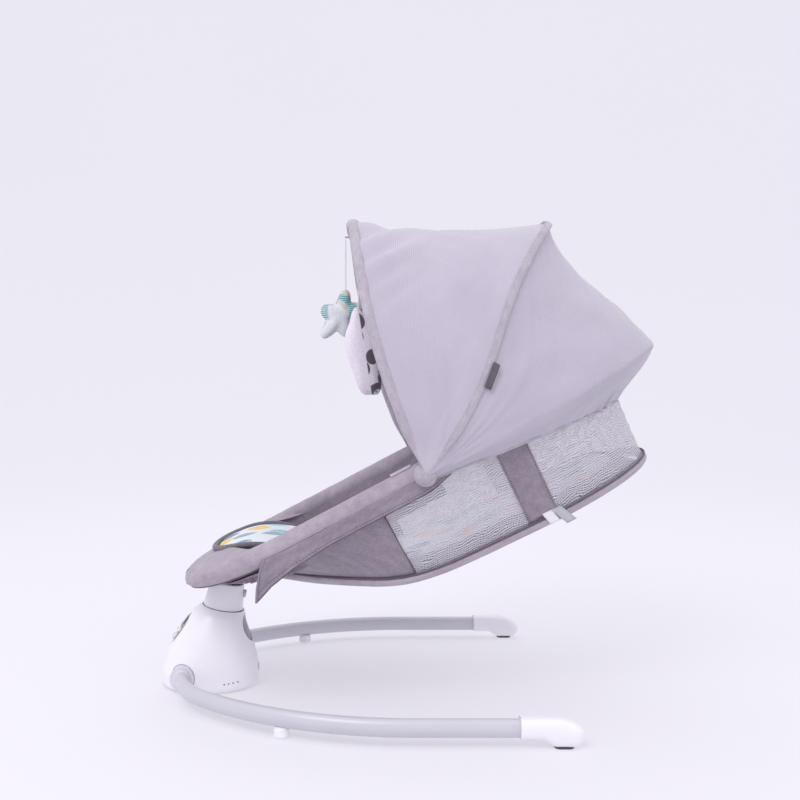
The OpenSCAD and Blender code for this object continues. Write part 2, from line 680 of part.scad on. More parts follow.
// Gap between the pad and the floor, along the rim.
LINER = [[62, 22], [90, 23], [114, 25], [140, 24], [183, 19], [212, 9], [228, 7.1], [rim_l, 7.5]];
function liner_half(p) =
    let (u = p - pad_p[0], l = pad_p[1] - pad_p[0],
         c = u < 95 ? 1 - u / 95 : u > l - 90 ? (u - l + 90) / 90 : 0)
    max(20, (floor_w / 2 + lerp(-31, -23, u / l)) * pow(max(0, 1 - pow(c, 2.2)), 1 / 2.2));
function liner_level(p) = depth_at(p) - pad_t / 2 - table_at(LINER, p, 1);
module liner_pad() color("aliceblue") {
    ps = [for (i = [0 : 20]) lerp(pad_p[0], pad_p[1], i / 20)];
    top = [for (p = ps) [for (v = [-1 : 0.5 : 1])
        place(p, liner_half(p) * v, liner_level(p) - pad_t / 2 - 3 * abs(v))]];
    low = [for (p = ps) [for (v = [-1 : 0.5 : 1])
        place(p, liner_half(p) * v, liner_level(p) + pad_t / 2 - 3 * abs(v))]];
    sheet_between(low, top);
}

// Bracket that clamps the rim's foot end and turns on the recline pin.
pin_point = [ox + seam_x + pin_z * sin(axis_lean), 0, tower_h + pin_z * cos(axis_lean)];
pin_play = 0.05;
module seat_bracket() color("gray") difference() {
    union() {
        translate(pin_point) rotate([90, 0, 0])
            cylinder(d = 18, h = 2 * cheek_y - cheek_t - 1, center = true);
        hull() {
            translate(pin_point + [0, 0, 4.5]) rotate([90, 0, 0])
                cylinder(d = 9, h = 24, center = true, $fn = 32);
            translate(rim_point(180) + [8, 0, -2]) rotate([90, 0, 0])
                cylinder(d = 12, h = 24, center = true, $fn = 32);
        }
        translate(rim_point(180)) rotate([90, 0, 0])
            cylinder(d = rim_tube_d + 10, h = 34, center = true);
    }
    translate(pin_point) rotate([90, 0, 0]) cylinder(r = pin_d / 2 + pin_play, h = 80, center = true);
    ring_rod([for (i = [0 : rim_steps - 1]) rim_point(rim_angle(i))], rim_tube_d + 0.2, below, 12);
}

// ---- harness ----
crotch_p = 0.352 * rim_l;
strap_t = 2;
function seat_top(p) = liner_level(p) - pad_t / 2 - 2.5;
function face(p, q, up) = place(p, q, seat_top(p) - up);
module harness_straps() color("dimgray") {
    crotch = [for (p = [crotch_p - 52 : 10 : crotch_p - 12]) p];
    sheet_between(
        [for (p = crotch) [for (q = [-11, 11]) face(p, q, 0.5)]],
        [for (p = crotch) [for (q = [-11, 11]) face(p, q, 0.5 + strap_t)]]);
    for (s = [-1, 1]) {
        qs = s > 0 ? [25 : 13 : 90] : [-90 : 13 : -25];
        sheet_between(
            [for (p = [crotch_p - 9, crotch_p + 9]) [for (q = qs) face(p, q, 0.5)]],
            [for (p = [crotch_p - 9, crotch_p + 9]) [for (q = qs) face(p, q, 0.5 + strap_t)]]);
    }
}

buckle_tilt = -rim_slope + atan((seat_top(crotch_p + 15) - seat_top(crotch_p - 15)) / 30);
module on_buckle(up = 0) translate(place(crotch_p, 0, seat_top(crotch_p) - 1 - up))
    rotate([0, buckle_tilt, 0]) children();
module harness_buckle() color("lightgray") on_buckle(0) difference() {
    translate([-11, -20, 0]) cube([23, 40, 11]);
    translate([-5, -8.4, 4]) cube([10, 16.8, 20]);
}
module buckle_button() color("firebrick") on_buckle(0)
    translate([-4.6, -8, 6.5]) cube([9.2, 16, 6]);

// ---- canopy ----
pivot = [ox + pivot_x0, 0, pivot_z];
hoop_steps = 20;
// Each hoop: reach, angle, bow and wave out of its plane, half width, squareness.
// The front hoop folds inside the rear one, and the middle hoop outside it.
FRONT = [front_reach, front_angle, 17, 0, hoop_half, 2.5];
REAR = [rear_reach, rear_angle, 0, 0, hoop_half + hoop_step, 3];
MID = [mid_reach, mid_angle, 0, -11, hoop_half + 2 * hoop_step, 2.5];
// Half of a hoop: t is 0 at the pivot and 1 at the crown.
function hoop_point(s, t, hoop, out = 0) =
    let (n = [-sin(hoop[1]), 0, cos(hoop[1])], r = (hoop[0] + out) * t,
         q = (hoop[4] + out) * pow(max(0, 1 - pow(t, hoop[5])), 1 / hoop[5]))
    pivot + r * [cos(hoop[1]), 0, sin(hoop[1])]
        + (hoop[2] * sin(180 * t) + hoop[3] * sin(360 * t)) * n + [0, s * q, 0];
// Points from one pivot over the crown to the other, closer together near the crown.
hoop_ts = [for (i = [0 : hoop_steps]) sin(90 * i / hoop_steps)];
function hoop_path(hoop, out = 0, t0 = 0) = concat(
    [for (t = hoop_ts) if (t > t0) hoop_point(-1, t, hoop, out)],
    [for (i = [hoop_steps - 1 : -1 : 0]) if (hoop_ts[i] > t0) hoop_point(1, hoop_ts[i], hoop, out)]);
hoop_root = 0.06;
module hoop_wire(hoop) rod(hoop_path(hoop, 0, hoop_root), hoop_d, hoop_d, [0.02, 1, 0.03], 8);

// Eyes of the three hoops sit side by side on the bracket's pin.
eye_t = 3;
pin_r = 4;
module hoop_eyes(hoop) both_sides() difference() {
    union() {
        translate([pivot[0], hoop[4] + eye_t / 2, pivot[2]]) rotate([90, 0, 0])
            cylinder(r = 9, h = eye_t);
        translate([pivot[0], hoop[4] - eye_t / 2, pivot[2]]) rotate([0, -hoop[1], 0])
            translate([0, 0, -4]) cube([36, eye_t, 8]);
    }
    translate([pivot[0], MID[4] + 20, pivot[2]]) rotate([90, 0, 0])
        cylinder(r = pin_r + 0.05, h = 60);
}

// A disc against the sleeve, a stud into the rim's tube, and a capped pin for the hoops' eyes.
module canopy_brackets() color("gray") both_sides() {
    reach = rim_w / 2 + rim_pad_d / 2;
    low = rim_w / 2 + rim_tube_d / 2 - 1;
    top = MID[4] + eye_t / 2 + 0.6;
    translate([pivot[0], top, pivot[2]]) rotate([90, 0, 0]) cylinder(r = pin_r, h = top - low);
    translate([pivot[0], hoop_half - eye_t / 2 - 0.2, pivot[2]]) rotate([90, 0, 0])
        cylinder(r = 14, h = hoop_half - eye_t / 2 - 0.2 - reach - 0.1);
    translate([pivot[0], top + 2.6, pivot[2]]) rotate([90, 0, 0]) cylinder(r = 9, h = 2.6);
}

module rear_hoop() color("dimgray") { hoop_wire(REAR); hoop_eyes(REAR); }
module mid_hoop() color("dimgray") { hoop_wire(MID); hoop_eyes(MID); }
module front_hoop() color("dimgray") {
    hoop_wire(FRONT);
    hoop_eyes(FRONT);
    toy_arm(1, star_arm);
    toy_arm(-1, cloud_arm);
}

// Net stretched between two hoops, from just outside one wire to just outside the other.
net_root = 0.16;
function net_grid(a, b, out) =
    let (pa = hoop_path(a, out, net_root), pb = hoop_path(b, out, net_root))
    [for (i = [0 : 5]) [for (j = [0 : len(pa) - 1]) lerp(pa[j], pb[j], lerp(0.02, 0.98, i / 5))]];
net_out = hoop_d / 2 + 0.6;
module net(a, b) color("lavender")
    sheet_between(net_grid(a, b, net_out + net_t), net_grid(a, b, net_out));
module front_net() net(FRONT, MID);
module rear_net() net(MID, REAR);

// ---- toys, each hanging from a short cord on an arm of the front hoop's crown ----
toy_t = 0.985;
arm_d = 3;
star_arm = -14;
cloud_arm = 8;
function toy_hook(s, arm) = hoop_point(s, toy_t, FRONT) + [arm, 0, -arm_d / 2 - 1];
star_hook = toy_hook(1, star_arm);
cloud_hook = toy_hook(-1, cloud_arm);
// A short arm that holds a toy's cord, seen end on from the side of the swing.
module toy_arm(s, arm) hull() {
    translate(hoop_point(s, toy_t, FRONT)) sphere(d = arm_d, $fn = 16);
    translate(hoop_point(s, toy_t, FRONT) + [arm, 0, 0]) sphere(d = arm_d, $fn = 16);
}
cord_d = 2;
module cord(hook, l) translate(hook - [0, 0, l]) cylinder(d = cord_d, h = l, $fn = 16);
star_drop = 78;
star_r = 47;
module star_toy() color("honeydew") {
    cord(star_hook, star_drop);
    translate(star_hook - [0, 0, star_drop + star_r * 0.86]) rotate([90, 0, 0])
        linear_extrude(26, center = true) offset(r = 7) polygon([for (i = [0 : 9])
            let (r = i % 2 == 0 ? star_r - 7 : star_r * 0.42, a = 90 + 36 * i)
            [0.62 * r * cos(a), r * sin(a)]]);
}
cloud_drop = 112;
cloud_l = 140;
module cloud_toy() color("lavenderblush") {
    cord(cloud_hook, cloud_drop);
    translate(cloud_hook - [0, 0, cloud_drop + cloud_l / 2 - 1]) rotate([90, 0, 0])
        linear_extrude(30, center = true) offset(r = 5) polygon([for (i = [0 : 23])
            let (a = 15 * i, r = 1 + 0.07 * cos(4 * a))
            [21 * r * cos(a), (cloud_l / 2 - 9) * r * sin(a)]]);
}

// ---- output ----
front_housing();
rear_housing();
base_plate();
battery_cover();
control_panel();
rear_panel();
display_lens();
bearing_frame();
bearing(0);  // upper_bearing
bearing(1);  // lower_bearing
drive_coil();
circuit_board();
speaker();
battery_tray();
battery_cells();
power_jack();
leg_sockets();
mirror([0, 1, 0]) leg_tube();  // leg_tube_left
leg_tube();  // leg_tube_right
support_pegs();
mirror([0, 1, 0]) foot_cap();  // foot_cap_left
foot_cap();  // foot_cap_right
foot_pads();
tower_pads();
housing_screws();
panel_button(0);  // power_button
panel_button(1);  // timer_button
panel_button(2);  // music_button
panel_button(3);  // slower_button
panel_button(4);  // faster_button
neck_shell();
swing_shaft();
magnet_arm();
drive_magnet();
seat_yoke();
recline_pin();
recline_button();
seat_bracket();
rim_tube();
rim_sleeve();
bottom_frame();
seat_sling();
side_mesh();
bottom_board();
wall_straps();
liner_pad();
harness_straps();
harness_buckle();
buckle_button();
canopy_brackets();
rear_hoop();
mid_hoop();
rear_net();
front_hoop();
front_net();
star_toy();
cloud_toy();
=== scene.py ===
import math

import bpy
import numpy as np
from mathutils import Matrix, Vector, noise


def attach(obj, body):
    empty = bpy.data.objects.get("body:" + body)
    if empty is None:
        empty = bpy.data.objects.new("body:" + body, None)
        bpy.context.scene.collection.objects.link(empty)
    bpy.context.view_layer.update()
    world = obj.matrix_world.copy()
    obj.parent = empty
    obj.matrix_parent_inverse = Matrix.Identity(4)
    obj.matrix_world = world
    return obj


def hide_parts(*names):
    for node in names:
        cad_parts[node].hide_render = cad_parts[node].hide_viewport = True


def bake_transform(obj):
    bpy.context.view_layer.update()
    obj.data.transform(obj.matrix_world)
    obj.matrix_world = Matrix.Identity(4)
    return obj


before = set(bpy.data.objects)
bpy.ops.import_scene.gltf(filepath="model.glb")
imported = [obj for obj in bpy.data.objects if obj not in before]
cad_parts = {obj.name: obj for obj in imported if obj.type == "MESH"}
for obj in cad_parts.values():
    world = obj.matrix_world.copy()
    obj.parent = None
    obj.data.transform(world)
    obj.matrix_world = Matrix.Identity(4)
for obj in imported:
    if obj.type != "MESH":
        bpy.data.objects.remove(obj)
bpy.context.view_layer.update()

MM = 0.001


# ---- camera, light and floor ----
def add_camera():
    camera = bpy.data.objects.new("camera", bpy.data.cameras.new("camera"))
    bpy.context.scene.collection.objects.link(camera)
    camera.location = (-0.0585, -1.456, 0.4625)
    camera.rotation_euler = (math.radians(90), 0, 0)
    camera.data.lens = 41.5
    camera.data.shift_x = 0.0408
    camera.data.shift_y = -0.0138
    bpy.context.scene.camera = camera


def add_light(name, place, aim, size, power, color):
    light = bpy.data.lights.new(name, "AREA")
    light.size = size
    light.energy = power
    light.color = color
    lamp = bpy.data.objects.new(name, light)
    bpy.context.scene.collection.objects.link(lamp)
    lamp.location = place
    lamp.rotation_euler = (Vector(aim) - Vector(place)).to_track_quat("-Z", "Y").to_euler()


def add_world():
    world = bpy.data.worlds.new("studio")
    world.use_nodes = True
    background = world.node_tree.nodes["Background"]
    background.inputs["Color"].default_value = (0.90, 0.885, 0.95, 1)
    background.inputs["Strength"].default_value = 1.02
    bpy.context.scene.world = world


# ---- materials ----
def add(tree, kind, inputs=None, **settings):
    node = tree.nodes.new("ShaderNode" + kind)
    for key, value in settings.items():
        setattr(node, key, value)
    for key, value in (inputs or {}).items():
        if isinstance(value, bpy.types.NodeSocket):
            tree.links.new(value, node.inputs[key])
        else:
            node.inputs[key].default_value = value
    return node


def math_node(tree, operation, a, b=0.0, c=0.0):
    return add(tree, "Math", {0: a, 1: b, 2: c}, operation=operation).outputs[0]


def cloud_of(tree, where, scale, detail):
    return add(tree, "TexNoise", {"Vector": where, "Scale": scale, "Detail": detail}).outputs["Fac"]


def carried(tree, value, low, high):
    """A value from 0 to 1, carried over to low to high."""
    return add(tree, "MapRange", {"Value": value, "To Min": low, "To Max": high}).outputs["Result"]


def settle(shader, **values):
    """Sets plain numbers on the shader, as sheen_weight=0.3."""
    for key, value in values.items():
        title = key.replace("_", " ").title().replace("Ior", "IOR")
        shader.inputs[title].default_value = value


def color_socket(sockets, name="Result"):
    return next(s for s in sockets if s.name == name and s.type == "RGBA")


def blank(name):
    material = bpy.data.materials.new(name)
    material.use_nodes = True
    tree = material.node_tree
    shader = next(n for n in tree.nodes if n.type == "BSDF_PRINCIPLED")
    return material, tree, shader


def coordinates(tree, use_uv):
    out = add(tree, "TexCoord").outputs
    return out["UV"] if use_uv else out["Object"]


def ramp(tree, factor, stops, interpolation="LINEAR"):
    node = add(tree, "ValToRGB", {"Fac": factor})
    node.color_ramp.interpolation = interpolation
    elements = node.color_ramp.elements
    while len(elements) < len(stops):
        elements.new(0.5)
    for element, (place, color) in zip(elements, stops):
        element.position = place
        element.color = (*color, 1)
    return node.outputs["Color"]


def add_bump(tree, shader, height, strength, distance):
    bump = add(tree, "Bump", {"Height": height, "Strength": strength, "Distance": distance})
    tree.links.new(bump.outputs["Normal"], shader.inputs["Normal"])


def plastic(name, color, roughness=0.35, coat=0.15):
    material, tree, shader = blank(name)
    where = coordinates(tree, False)
    cloud = cloud_of(tree, where, 9.0, 3.0)
    dark = [c * 0.95 for c in color]
    tone = ramp(tree, cloud, [(0.3, dark), (0.7, color)])
    tree.links.new(tone, shader.inputs["Base Color"])
    rough = carried(tree, cloud, roughness - 0.05, roughness + 0.07)
    tree.links.new(rough, shader.inputs["Roughness"])
    grain = cloud_of(tree, where, 1400.0, 2.0)
    add_bump(tree, shader, grain, 0.12, 0.0002)
    settle(shader, coat_weight=coat, coat_roughness=0.25)
    return material


def paper(name, color):
    """A matt, softly lit table top with only the faintest mottling."""
    material, tree, shader = blank(name)
    cloud = cloud_of(tree, coordinates(tree, False), 0.7, 1.0)
    tone = ramp(tree, cloud, [(0.2, [c * 0.985 for c in color]), (0.8, color)])
    tree.links.new(tone, shader.inputs["Base Color"])
    settle(shader, roughness=0.85, specular_ior_level=0.1,
           emission_color=(0.90, 0.885, 0.96, 1), emission_strength=0.50)
    return material


def metal(name, color, roughness=0.35, metallic=1.0):
    material, tree, shader = blank(name)
    where = coordinates(tree, False)
    streaks = add(tree, "Mapping", {"Vector": where, "Scale": (40.0, 40.0, 700.0)}).outputs[0]
    brushed = cloud_of(tree, streaks, 1.0, 3.0)
    tone = ramp(tree, brushed, [(0.25, [c * 0.86 for c in color]), (0.75, color)])
    tree.links.new(tone, shader.inputs["Base Color"])
    rough = carried(tree, brushed, roughness - 0.06, roughness + 0.08)
    tree.links.new(rough, shader.inputs["Roughness"])
    settle(shader, metallic=metallic)
    return material


def fabric(name, dark, light, use_uv=True, thread=0.0011, slub=0.5):
    """A melange plain weave: flecked threads, with broad soft changes of tone."""
    material, tree, shader = blank(name)
    where = coordinates(tree, use_uv)
    fleck_space = add(tree, "Mapping", {"Vector": where, "Scale": (1.0, 2.6, 1.0)}).outputs[0]
    fleck = add(tree, "TexNoise", {"Vector": fleck_space, "Scale": 260.0, "Detail": 4.0,
                                   "Roughness": 0.7}).outputs["Fac"]
    cloud = cloud_of(tree, where, 14.0, 3.0)
    mottle = cloud_of(tree, where, 75.0, 3.0)
    broad = math_node(tree, "MULTIPLY_ADD", mottle, 0.30, math_node(tree, "MULTIPLY", cloud, 0.30))
    mixed = math_node(tree, "MULTIPLY_ADD", fleck, slub, broad)
    tone = ramp(tree, mixed, [(0.42, dark), (0.68, light)])
    tree.links.new(tone, shader.inputs["Base Color"])
    split = add(tree, "SeparateXYZ", {"Vector": where}).outputs
    turn = 2 * math.pi / (2 * thread)
    across = math_node(tree, "SINE", math_node(tree, "MULTIPLY", split["X"], turn))
    along = math_node(tree, "SINE", math_node(tree, "MULTIPLY", split["Y"], turn))
    weave = math_node(tree, "MULTIPLY", across, along)
    height = math_node(tree, "MULTIPLY_ADD", fleck, 0.9, weave)
    add_bump(tree, shader, height, 0.35, 0.0004)
    settle(shader, roughness=0.92, sheen_weight=0.25, sheen_roughness=0.5, specular_ior_level=0.15)
    return material


def open_mesh(name, color, pitch, thick_share, hole_alpha, cross=0.6, wave=0.0):
    """Knitted net: threads at a pitch both ways, with see-through holes between them."""
    material, tree, shader = blank(name)
    where = coordinates(tree, True)
    split = add(tree, "SeparateXYZ", {"Vector": where}).outputs
    drift = cloud_of(tree, where, 38.0, 2.0)
    ridges = []
    for axis, weight in (("Y", 1.0), ("X", cross)):
        place_on = math_node(tree, "MULTIPLY_ADD", drift, wave, split[axis])
        turn = math_node(tree, "MULTIPLY", place_on, math.pi / pitch)
        ridge = math_node(tree, "ABSOLUTE", math_node(tree, "COSINE", turn))
        ridges.append(math_node(tree, "MULTIPLY", ridge, weight))
    thread = math_node(tree, "MAXIMUM", ridges[0], ridges[1])
    solid = add(tree, "MapRange", {"Value": thread, "From Min": 1 - thick_share - 0.18,
                                   "From Max": 1 - thick_share + 0.18}).outputs["Result"]
    alpha = add(tree, "MapRange", {"Value": solid, "To Min": hole_alpha, "To Max": 1.0})
    tree.links.new(alpha.outputs["Result"], shader.inputs["Alpha"])
    cloud = cloud_of(tree, where, 11.0, 3.0)
    tone = ramp(tree, cloud, [(0.3, [c * 0.93 for c in color]), (0.7, color)])
    tree.links.new(tone, shader.inputs["Base Color"])
    add_bump(tree, shader, thread, 0.3, 0.0004)
    settle(shader, roughness=0.7, sheen_weight=0.3, specular_ior_level=0.2)
    return material


LEAF_CELL = 0.042


def leaf_print(name):
    """White cotton with scattered pointed leaves, each with a paler midrib."""
    material, tree, shader = blank(name)
    where = coordinates(tree, False)
    flat = add(tree, "Mapping", {"Vector": where, "Scale": (1.0, 0.62, 0.12)}).outputs[0]
    scale = 1 / LEAF_CELL
    cells = add(tree, "TexVoronoi", {"Vector": flat, "Scale": scale, "Randomness": 0.85},
                voronoi_dimensions="2D")
    spot = add(tree, "VectorMath", {0: flat, 1: (scale, scale, scale)}, operation="MULTIPLY")
    centre = add(tree, "VectorMath", {0: cells.outputs["Position"], 1: (scale, scale, scale)},
                 operation="MULTIPLY")
    offset = add(tree, "VectorMath", {0: spot.outputs[0], 1: centre.outputs[0]},
                 operation="SUBTRACT").outputs[0]
    shade = add(tree, "SeparateColor", {"Color": cells.outputs["Color"]}).outputs
    angle = math_node(tree, "MULTIPLY_ADD", shade["Red"], 0.9, -0.45)
    turned = add(tree, "VectorRotate", {"Vector": offset, "Angle": angle},
                 rotation_type="Z_AXIS").outputs[0]
    local = add(tree, "SeparateXYZ", {"Vector": turned}).outputs
    length = math_node(tree, "ABSOLUTE", math_node(tree, "MULTIPLY", local["X"], 1.85))
    width = math_node(tree, "ABSOLUTE", math_node(tree, "MULTIPLY", local["Y"], 3.6))
    reach = math_node(tree, "ADD", math_node(tree, "MULTIPLY", length, length), width)
    leaf = add(tree, "MapRange", {"Value": reach, "From Min": 0.98, "From Max": 0.86}).outputs["Result"]
    rib = add(tree, "MapRange", {"Value": width, "From Min": 0.03, "From Max": 0.09}).outputs["Result"]
    leaf = math_node(tree, "MULTIPLY", leaf, rib)
    colors = ramp(tree, shade["Green"], [
        (0.0, (0.26, 0.55, 0.60)), (0.2, (0.10, 0.16, 0.30)), (0.36, (0.62, 0.74, 0.80)),
        (0.54, (0.78, 0.55, 0.10)), (0.68, (0.24, 0.33, 0.42)), (0.82, (0.74, 0.36, 0.26))], "CONSTANT")
    node = add(tree, "Mix", {"Factor": leaf}, data_type="RGBA")
    color_socket(node.inputs, "A").default_value = (0.74, 0.79, 0.83, 1)
    tree.links.new(colors, color_socket(node.inputs, "B"))
    tree.links.new(color_socket(node.outputs), shader.inputs["Base Color"])
    threads = cloud_of(tree, where, 900.0, 2.0)
    add_bump(tree, shader, threads, 0.25, 0.0003)
    settle(shader, roughness=0.9, sheen_weight=0.2)
    return material


def plush(name, ground_colors, pattern_of):
    """Short velour with a soft printed pattern, which pattern_of lays over its ground colour."""
    material, tree, shader = blank(name)
    where = coordinates(tree, False)
    tone = cloud_of(tree, where, 300.0, 3.0)
    color = ramp(tree, tone, [(0.3, ground_colors[0]), (0.7, ground_colors[1])])
    for factor, shade in pattern_of(tree, where):
        color = tint(tree, factor, color, shade)
    tree.links.new(color, shader.inputs["Base Color"])
    nap = cloud_of(tree, where, 700.0, 4.0)
    add_bump(tree, shader, nap, 0.5, 0.0006)
    settle(shader, roughness=0.95, sheen_weight=0.5)
    return material


def tint(tree, factor, under, shade):
    """Lays one plain colour over another by a factor from 0 to 1."""
    node = add(tree, "Mix", {"Factor": factor}, data_type="RGBA")
    tree.links.new(under, color_socket(node.inputs, "A"))
    color_socket(node.inputs, "B").default_value = (*shade, 1)
    return color_socket(node.outputs)


def between(tree, value, low, high, soft=0.0006):
    """1 where value lies between low and high, with soft edges."""
    rise, fall = (add(tree, "MapRange", {"Value": value, "From Min": a, "From Max": b}).outputs["Result"]
                  for a, b in ((low - soft, low + soft), (high + soft, high - soft)))
    return math_node(tree, "MULTIPLY", rise, fall)


def star_pattern(tree, where):
    """A curved band of short teal stripes, and a pale yellow corner."""
    centre = (-0.104, 0.0541, 0.588)
    away = add(tree, "VectorMath", {0: where, 1: centre}, operation="DISTANCE").outputs["Value"]
    split = add(tree, "SeparateXYZ", {"Vector": where}).outputs
    dash = math_node(tree, "SINE", math_node(tree, "MULTIPLY", split["Z"], 1900.0))
    band = math_node(tree, "MULTIPLY", between(tree, away, 0.0215, 0.0300),
                     math_node(tree, "GREATER_THAN", dash, -0.25))
    upper = math_node(tree, "GREATER_THAN", split["Z"], centre[2] - 0.012)
    corner = between(tree, math_node(tree, "ADD", split["X"], split["Z"]), centre[0] + centre[2] + 0.012, 2.0)
    return [(math_node(tree, "MULTIPLY", corner, 0.8), (0.56, 0.58, 0.50)),
            (math_node(tree, "MULTIPLY", band, upper), (0.03, 0.33, 0.36))]


def cloud_pattern(tree, where):
    """Brown-grey rings and blots down one side, and a few short dashes on the other."""
    split = add(tree, "SeparateXYZ", {"Vector": where}).outputs
    edge = math_node(tree, "MULTIPLY_ADD", split["Z"], 0.16, split["X"])
    side = add(tree, "MapRange", {"Value": edge, "From Min": 0.0205, "From Max": 0.0215}).outputs["Result"]
    cells = add(tree, "TexVoronoi", {"Vector": where, "Scale": 34.0, "Randomness": 0.8}).outputs["Distance"]
    rings = between(tree, cells, 0.20, 0.52, 0.02)
    small = add(tree, "TexVoronoi", {"Vector": where, "Scale": 62.0, "Randomness": 0.5}).outputs["Distance"]
    dashes = math_node(tree, "LESS_THAN", small, 0.11)
    return [(dashes, (0.16, 0.13, 0.17)), (math_node(tree, "MULTIPLY", rings, side), (0.10, 0.08, 0.105))]


WHITE = plastic("white_plastic", (0.90, 0.885, 0.93), 0.30, 0.3)
PALE = plastic("pale_grey_plastic", (0.60, 0.58, 0.66), 0.4)
SOCKET = plastic("socket_grey", (0.74, 0.72, 0.79), 0.4)
SEAM_GREY = plastic("seam_grey", (0.40, 0.39, 0.45), 0.5)
PANEL_GREY = plastic("panel_grey", (0.30, 0.29, 0.36), 0.42)
BLACK = plastic("black_plastic", (0.03, 0.03, 0.04), 0.3)
RED = plastic("red_plastic", (0.50, 0.08, 0.08), 0.35)
RUBBER = plastic("rubber_pad", (0.09, 0.09, 0.10), 0.8, 0.0)
GREEN = plastic("board_green", (0.03, 0.16, 0.07), 0.5)
TUBE = plastic("silver_enamel", (0.60, 0.59, 0.65), 0.32, 0.5)
STEEL = metal("zinc_steel", (0.55, 0.55, 0.58), 0.34)
COPPER = metal("copper_wire", (0.72, 0.38, 0.22), 0.3)
SKIRT_CLOTH = fabric("valance_weave", (0.235, 0.200, 0.242), (0.375, 0.330, 0.388))
HEATHER = fabric("heather_weave", (0.225, 0.190, 0.230), (0.370, 0.325, 0.378))
# The skirt's own cloth painted lighter: a painted highlight for the light from above on the roll's top. The
# roll and the foot hood use it.
ROLL_PAINTED_HIGHLIGHT = fabric("rim_weave_painted_highlight", (0.33, 0.285, 0.335), (0.48, 0.425, 0.49))
TRIM = fabric("trim_weave", (0.37, 0.335, 0.385), (0.54, 0.495, 0.56))
PIPING = fabric("dark_piping", (0.10, 0.085, 0.105), (0.17, 0.15, 0.18), thread=0.0007)
PAD_EDGE = fabric("pad_edge", (0.14, 0.13, 0.15), (0.22, 0.205, 0.235), thread=0.0007)
PALE_BAND = fabric("pale_band", (0.34, 0.30, 0.35), (0.50, 0.455, 0.51))
WEBBING = fabric("webbing_weave", (0.25, 0.24, 0.28), (0.38, 0.36, 0.41), thread=0.0016)
TAPE = fabric("white_tape", (0.78, 0.77, 0.82), (0.90, 0.89, 0.93), thread=0.0007)
NET = open_mesh("canopy_net", (0.52, 0.485, 0.565), 0.0030, 0.42, 0.78, 0.75, 0.004)
SIDE_NET = open_mesh("side_net", (0.66, 0.64, 0.70), 0.0034, 0.34, 0.24, 0.72, 0.014)
LEAVES = leaf_print("leaf_print")
STAR_PLUSH = plush("star_plush", ((0.66, 0.68, 0.72), (0.76, 0.77, 0.80)), star_pattern)
CLOUD_PLUSH = plush("cloud_plush", ((0.74, 0.69, 0.78), (0.84, 0.78, 0.86)), cloud_pattern)
WIRE = plastic("hoop_wire", (0.40, 0.38, 0.43), 0.4)
PALE_LABEL = fabric("grey_label", (0.44, 0.45, 0.48), (0.58, 0.59, 0.62), thread=0.0007)
FLOOR = paper("backdrop", (0.40, 0.395, 0.415))


# ---- mesh helpers: every length is in millimetres ----
def smooth_step(x):
    x = max(0.0, min(1.0, x))
    return x * x * (3 - 2 * x)


def side_name(side):
    return "far" if side > 0 else "near"


def mix(a, b, t):
    return a + (b - a) * t


def shade_smooth(mesh):
    mesh.polygons.foreach_set("use_smooth", [True] * len(mesh.polygons))


def signed_power(x, power):
    return math.copysign(abs(x) ** power, x)


def make(name, points, faces, material, body, uvs=None):
    mesh = bpy.data.meshes.new(name)
    mesh.from_pydata([tuple(Vector(p) * MM) for p in points], [], faces)
    mesh.update()
    if uvs is not None:
        layer = mesh.uv_layers.new(name="UVMap")
        flat = np.array(uvs, np.float32)[[loop.vertex_index for loop in mesh.loops]] * MM
        layer.data.foreach_set("uv", flat.ravel())
    mesh.materials.append(material)
    shade_smooth(mesh)
    piece = bpy.data.objects.new(name, mesh)
    bpy.context.scene.collection.objects.link(piece)
    if body:
        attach(piece, body)
    return piece


def grid(name, rows, material, body, close_rows=False, close_cols=False, caps=False):
    """A skin over rows of points, with UVs in metres of cloth."""
    count = len(rows)
    width = len(rows[0])
    points = [p for row in rows for p in row]
    down = [0.0]
    for i in range(1, count):
        middle = width // 2
        down.append(down[-1] + (Vector(rows[i][middle]) - Vector(rows[i - 1][middle])).length)
    uvs = []
    for i, row in enumerate(rows):
        run = [0.0]
        for j in range(1, width):
            run.append(run[-1] + (Vector(row[j]) - Vector(row[j - 1])).length)
        half = run[-1] / 2
        uvs += [(run[j] - half, down[i]) for j in range(width)]
    faces = []
    for i in range(count if close_rows else count - 1):
        k = (i + 1) % count
        for j in range(width if close_cols else width - 1):
            m = (j + 1) % width
            faces.append((i * width + j, k * width + j, k * width + m, i * width + m))
    if caps:
        faces.append(tuple(range(width)))
        faces.append(tuple((count - 1) * width + j for j in reversed(range(width))))
    return make(name, points, faces, material, body, uvs)


def tube(name, path, radius, material, body, closed=False, sides=16, shape=None, up=None):
    """A swept tube. shape(i, angle) scales the radius; up fixes the profile's zero angle."""
    path = [Vector(p) for p in path]
    count = len(path)
    rows = []
    for i, p in enumerate(path):
        ahead = path[(i + 1) % count] if closed else path[min(i + 1, count - 1)]
        behind = path[i - 1] if closed else path[max(i - 1, 0)]
        along = (ahead - behind).normalized()
        lead = Vector(up) if up else Vector((0, 0, 1) if abs(along.z) < 0.9 else (1, 0, 0))
        side = along.cross(lead).normalized()
        top = side.cross(along).normalized()
        row = []
        for j in range(sides):
            a = 2 * math.pi * j / sides
            r = radius(i) if callable(radius) else radius
            w, h = r if isinstance(r, tuple) else (r, r)
            k = shape(i, a) if shape else 1.0
            row.append(p + side * (w * k * math.cos(a)) + top * (h * k * math.sin(a)))
        rows.append(row)
    return grid(name, rows, material, body, close_rows=closed, close_cols=True, caps=not closed)


